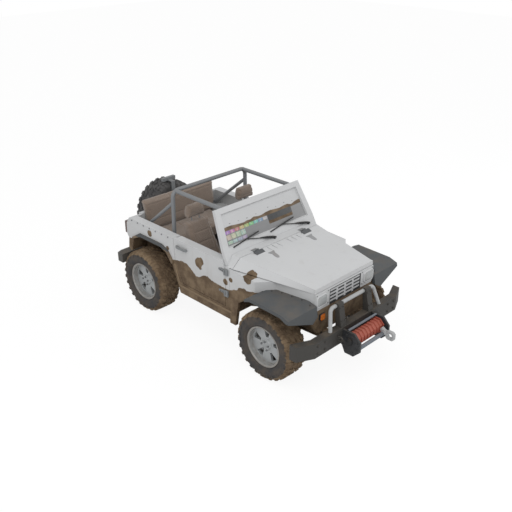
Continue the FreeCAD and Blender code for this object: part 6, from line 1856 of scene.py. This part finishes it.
class OPENCAR_OT_stage(PieceOperator, bpy.types.Operator):
    """The floor, the soft light and the camera"""

    bl_idname = "opencar.stage"
    bl_label = "Stage"

    # The camera that the photo was taken with, solved from the wheels, sill, cage and screen
    CAMERA_PLACE = (-5.928, -5.9015, 5.086)
    CAMERA_DOWN = 26.252
    CAMERA_HEADING = -45
    # Each lamp's name, place, power and size
    LAMPS = (("key", (-4.5, -4.0, 9.0), 330, 7.0), ("fill", (7.0, -3.0, 5.0), 90, 6.0))
    # The sky's strength as a light, the floor's glow, and the share of it that the camera sees
    SKY_LIGHT = 0.65
    FLOOR_GLOW = 1.04
    FLOOR_SHARE = 0.88

    def build(self):
        scene = bpy.context.scene
        scene.view_settings.view_transform = "Standard"
        floor = settle(start("plane", "floor", size=60), Matrix.Translation((0, 0, -0.0005)))
        floor.data.materials.append(self.floor_finish())
        self.sky(scene)
        for lamp in self.LAMPS:
            self.lamp(*lamp)
        optics = bpy.data.cameras.new("camera")
        optics.lens = 50
        optics.sensor_width = 36
        optics.clip_end = 200
        camera = bpy.data.objects.new("camera", optics)
        bpy.context.collection.objects.link(camera)
        camera.location = self.CAMERA_PLACE
        tilt, heading = math.radians(90 - self.CAMERA_DOWN), math.radians(self.CAMERA_HEADING)
        camera.rotation_euler = (tilt, 0, heading)
        scene.camera = camera

    def lamp(self, name, place, power, size):
        """A soft square lamp that faces the car."""
        light = bpy.data.lights.new(name, "AREA")
        light.energy = power
        light.size = size
        holder = bpy.data.objects.new(name, light)
        bpy.context.collection.objects.link(holder)
        holder.location = place
        aim = Vector((0, 0, 0.8)) - holder.location
        holder.rotation_euler = aim.to_track_quat("-Z", "Y").to_euler()

    def sky(self, scene):
        """White to the camera and in reflections, softer as a light."""
        world = bpy.data.worlds.new("Studio")
        scene.world = world
        world.use_nodes = True
        tree = world.node_tree
        light = tree.nodes["Background"]
        seen = tree.nodes.new("ShaderNodeBackground")
        for node, strength in ((light, self.SKY_LIGHT), (seen, 1.0)):
            node.inputs["Color"].default_value = (1.0, 1.0, 1.0, 1.0)
            node.inputs["Strength"].default_value = strength
        rays = tree.nodes.new("ShaderNodeLightPath")
        either = tree.nodes.new("ShaderNodeMath")
        either.operation = "MAXIMUM"
        tree.links.new(rays.outputs["Is Camera Ray"], either.inputs[0])
        tree.links.new(rays.outputs["Is Transmission Ray"], either.inputs[1])
        self.blend(tree, either, light, seen, tree.nodes["World Output"])

    def blend(self, tree, share, first, second, output):
        """Mixes two shaders by a share and links them to the output."""
        mix = tree.nodes.new("ShaderNodeMixShader")
        for index, node in enumerate((share, first, second)):
            tree.links.new(node.outputs[0], mix.inputs[index])
        tree.links.new(mix.outputs[0], output.inputs["Surface"])

    def floor_finish(self):
        """A pale floor that shows white to the camera except where the car shades it."""
        material = bpy.data.materials.new("Floor")
        material.use_nodes = True
        tree = material.node_tree
        matt = tree.nodes["Principled BSDF"]
        matt.inputs["Base Color"].default_value = (0.86, 0.86, 0.86, 1)
        matt.inputs["Roughness"].default_value = 0.9
        glow = tree.nodes.new("ShaderNodeEmission")
        glow.inputs["Color"].default_value = (1, 1, 1, 1)
        glow.inputs["Strength"].default_value = self.FLOOR_GLOW
        rays = tree.nodes.new("ShaderNodeLightPath")
        share = tree.nodes.new("ShaderNodeMath")
        share.operation = "MULTIPLY"
        share.inputs[1].default_value = self.FLOOR_SHARE
        tree.links.new(rays.outputs["Is Camera Ray"], share.inputs[0])
        self.blend(tree, share, matt, glow, tree.nodes["Material Output"])
        return material


PIECES = (
    OPENCAR_OT_panels,
    OPENCAR_OT_tyres,
    OPENCAR_OT_wheel_nuts,
    OPENCAR_OT_front_seats,
    OPENCAR_OT_bench,
    OPENCAR_OT_screen_trim,
    OPENCAR_OT_lamps,
    OPENCAR_OT_winch_gear,
    OPENCAR_OT_wiper_heads,
    OPENCAR_OT_sill_strips,
    OPENCAR_OT_hood_pads,
    OPENCAR_OT_bolts,
    OPENCAR_OT_cabin,
    OPENCAR_OT_underside,
    OPENCAR_OT_filler,
    OPENCAR_OT_stage,
)


class OPENCAR_PT_panel(bpy.types.Panel):
    """Lists the pieces in the 3D view's sidebar"""

    bl_idname = "OPENCAR_PT_panel"
    bl_label = "Open 4x4 car"
    bl_space_type = "VIEW_3D"
    bl_region_type = "UI"
    bl_category = "Open car"

    def draw(self, context):
        for piece in PIECES:
            self.layout.operator(piece.bl_idname)
        for group in (context.scene.open_car_sizes, context.scene.open_car_colours):
            for name in group.bl_rna.properties.keys():
                if name not in {"rna_type", "name"}:
                    self.layout.prop(group, name)


CLASSES = (OpenCarColours, OpenCarSizes, *PIECES, OPENCAR_PT_panel)


def register():
    for item in CLASSES:
        bpy.utils.register_class(item)
    bpy.types.Scene.open_car_colours = PointerProperty(type=OpenCarColours)
    bpy.types.Scene.open_car_sizes = PointerProperty(type=OpenCarSizes)


def unregister():
    del bpy.types.Scene.open_car_sizes
    del bpy.types.Scene.open_car_colours
    for item in reversed(CLASSES):
        bpy.utils.unregister_class(item)


def main():
    register()
    for piece in PIECES:
        family, name = piece.bl_idname.split(".")
        getattr(getattr(bpy.ops, family), name)()


if __name__ == "__main__":
    main()
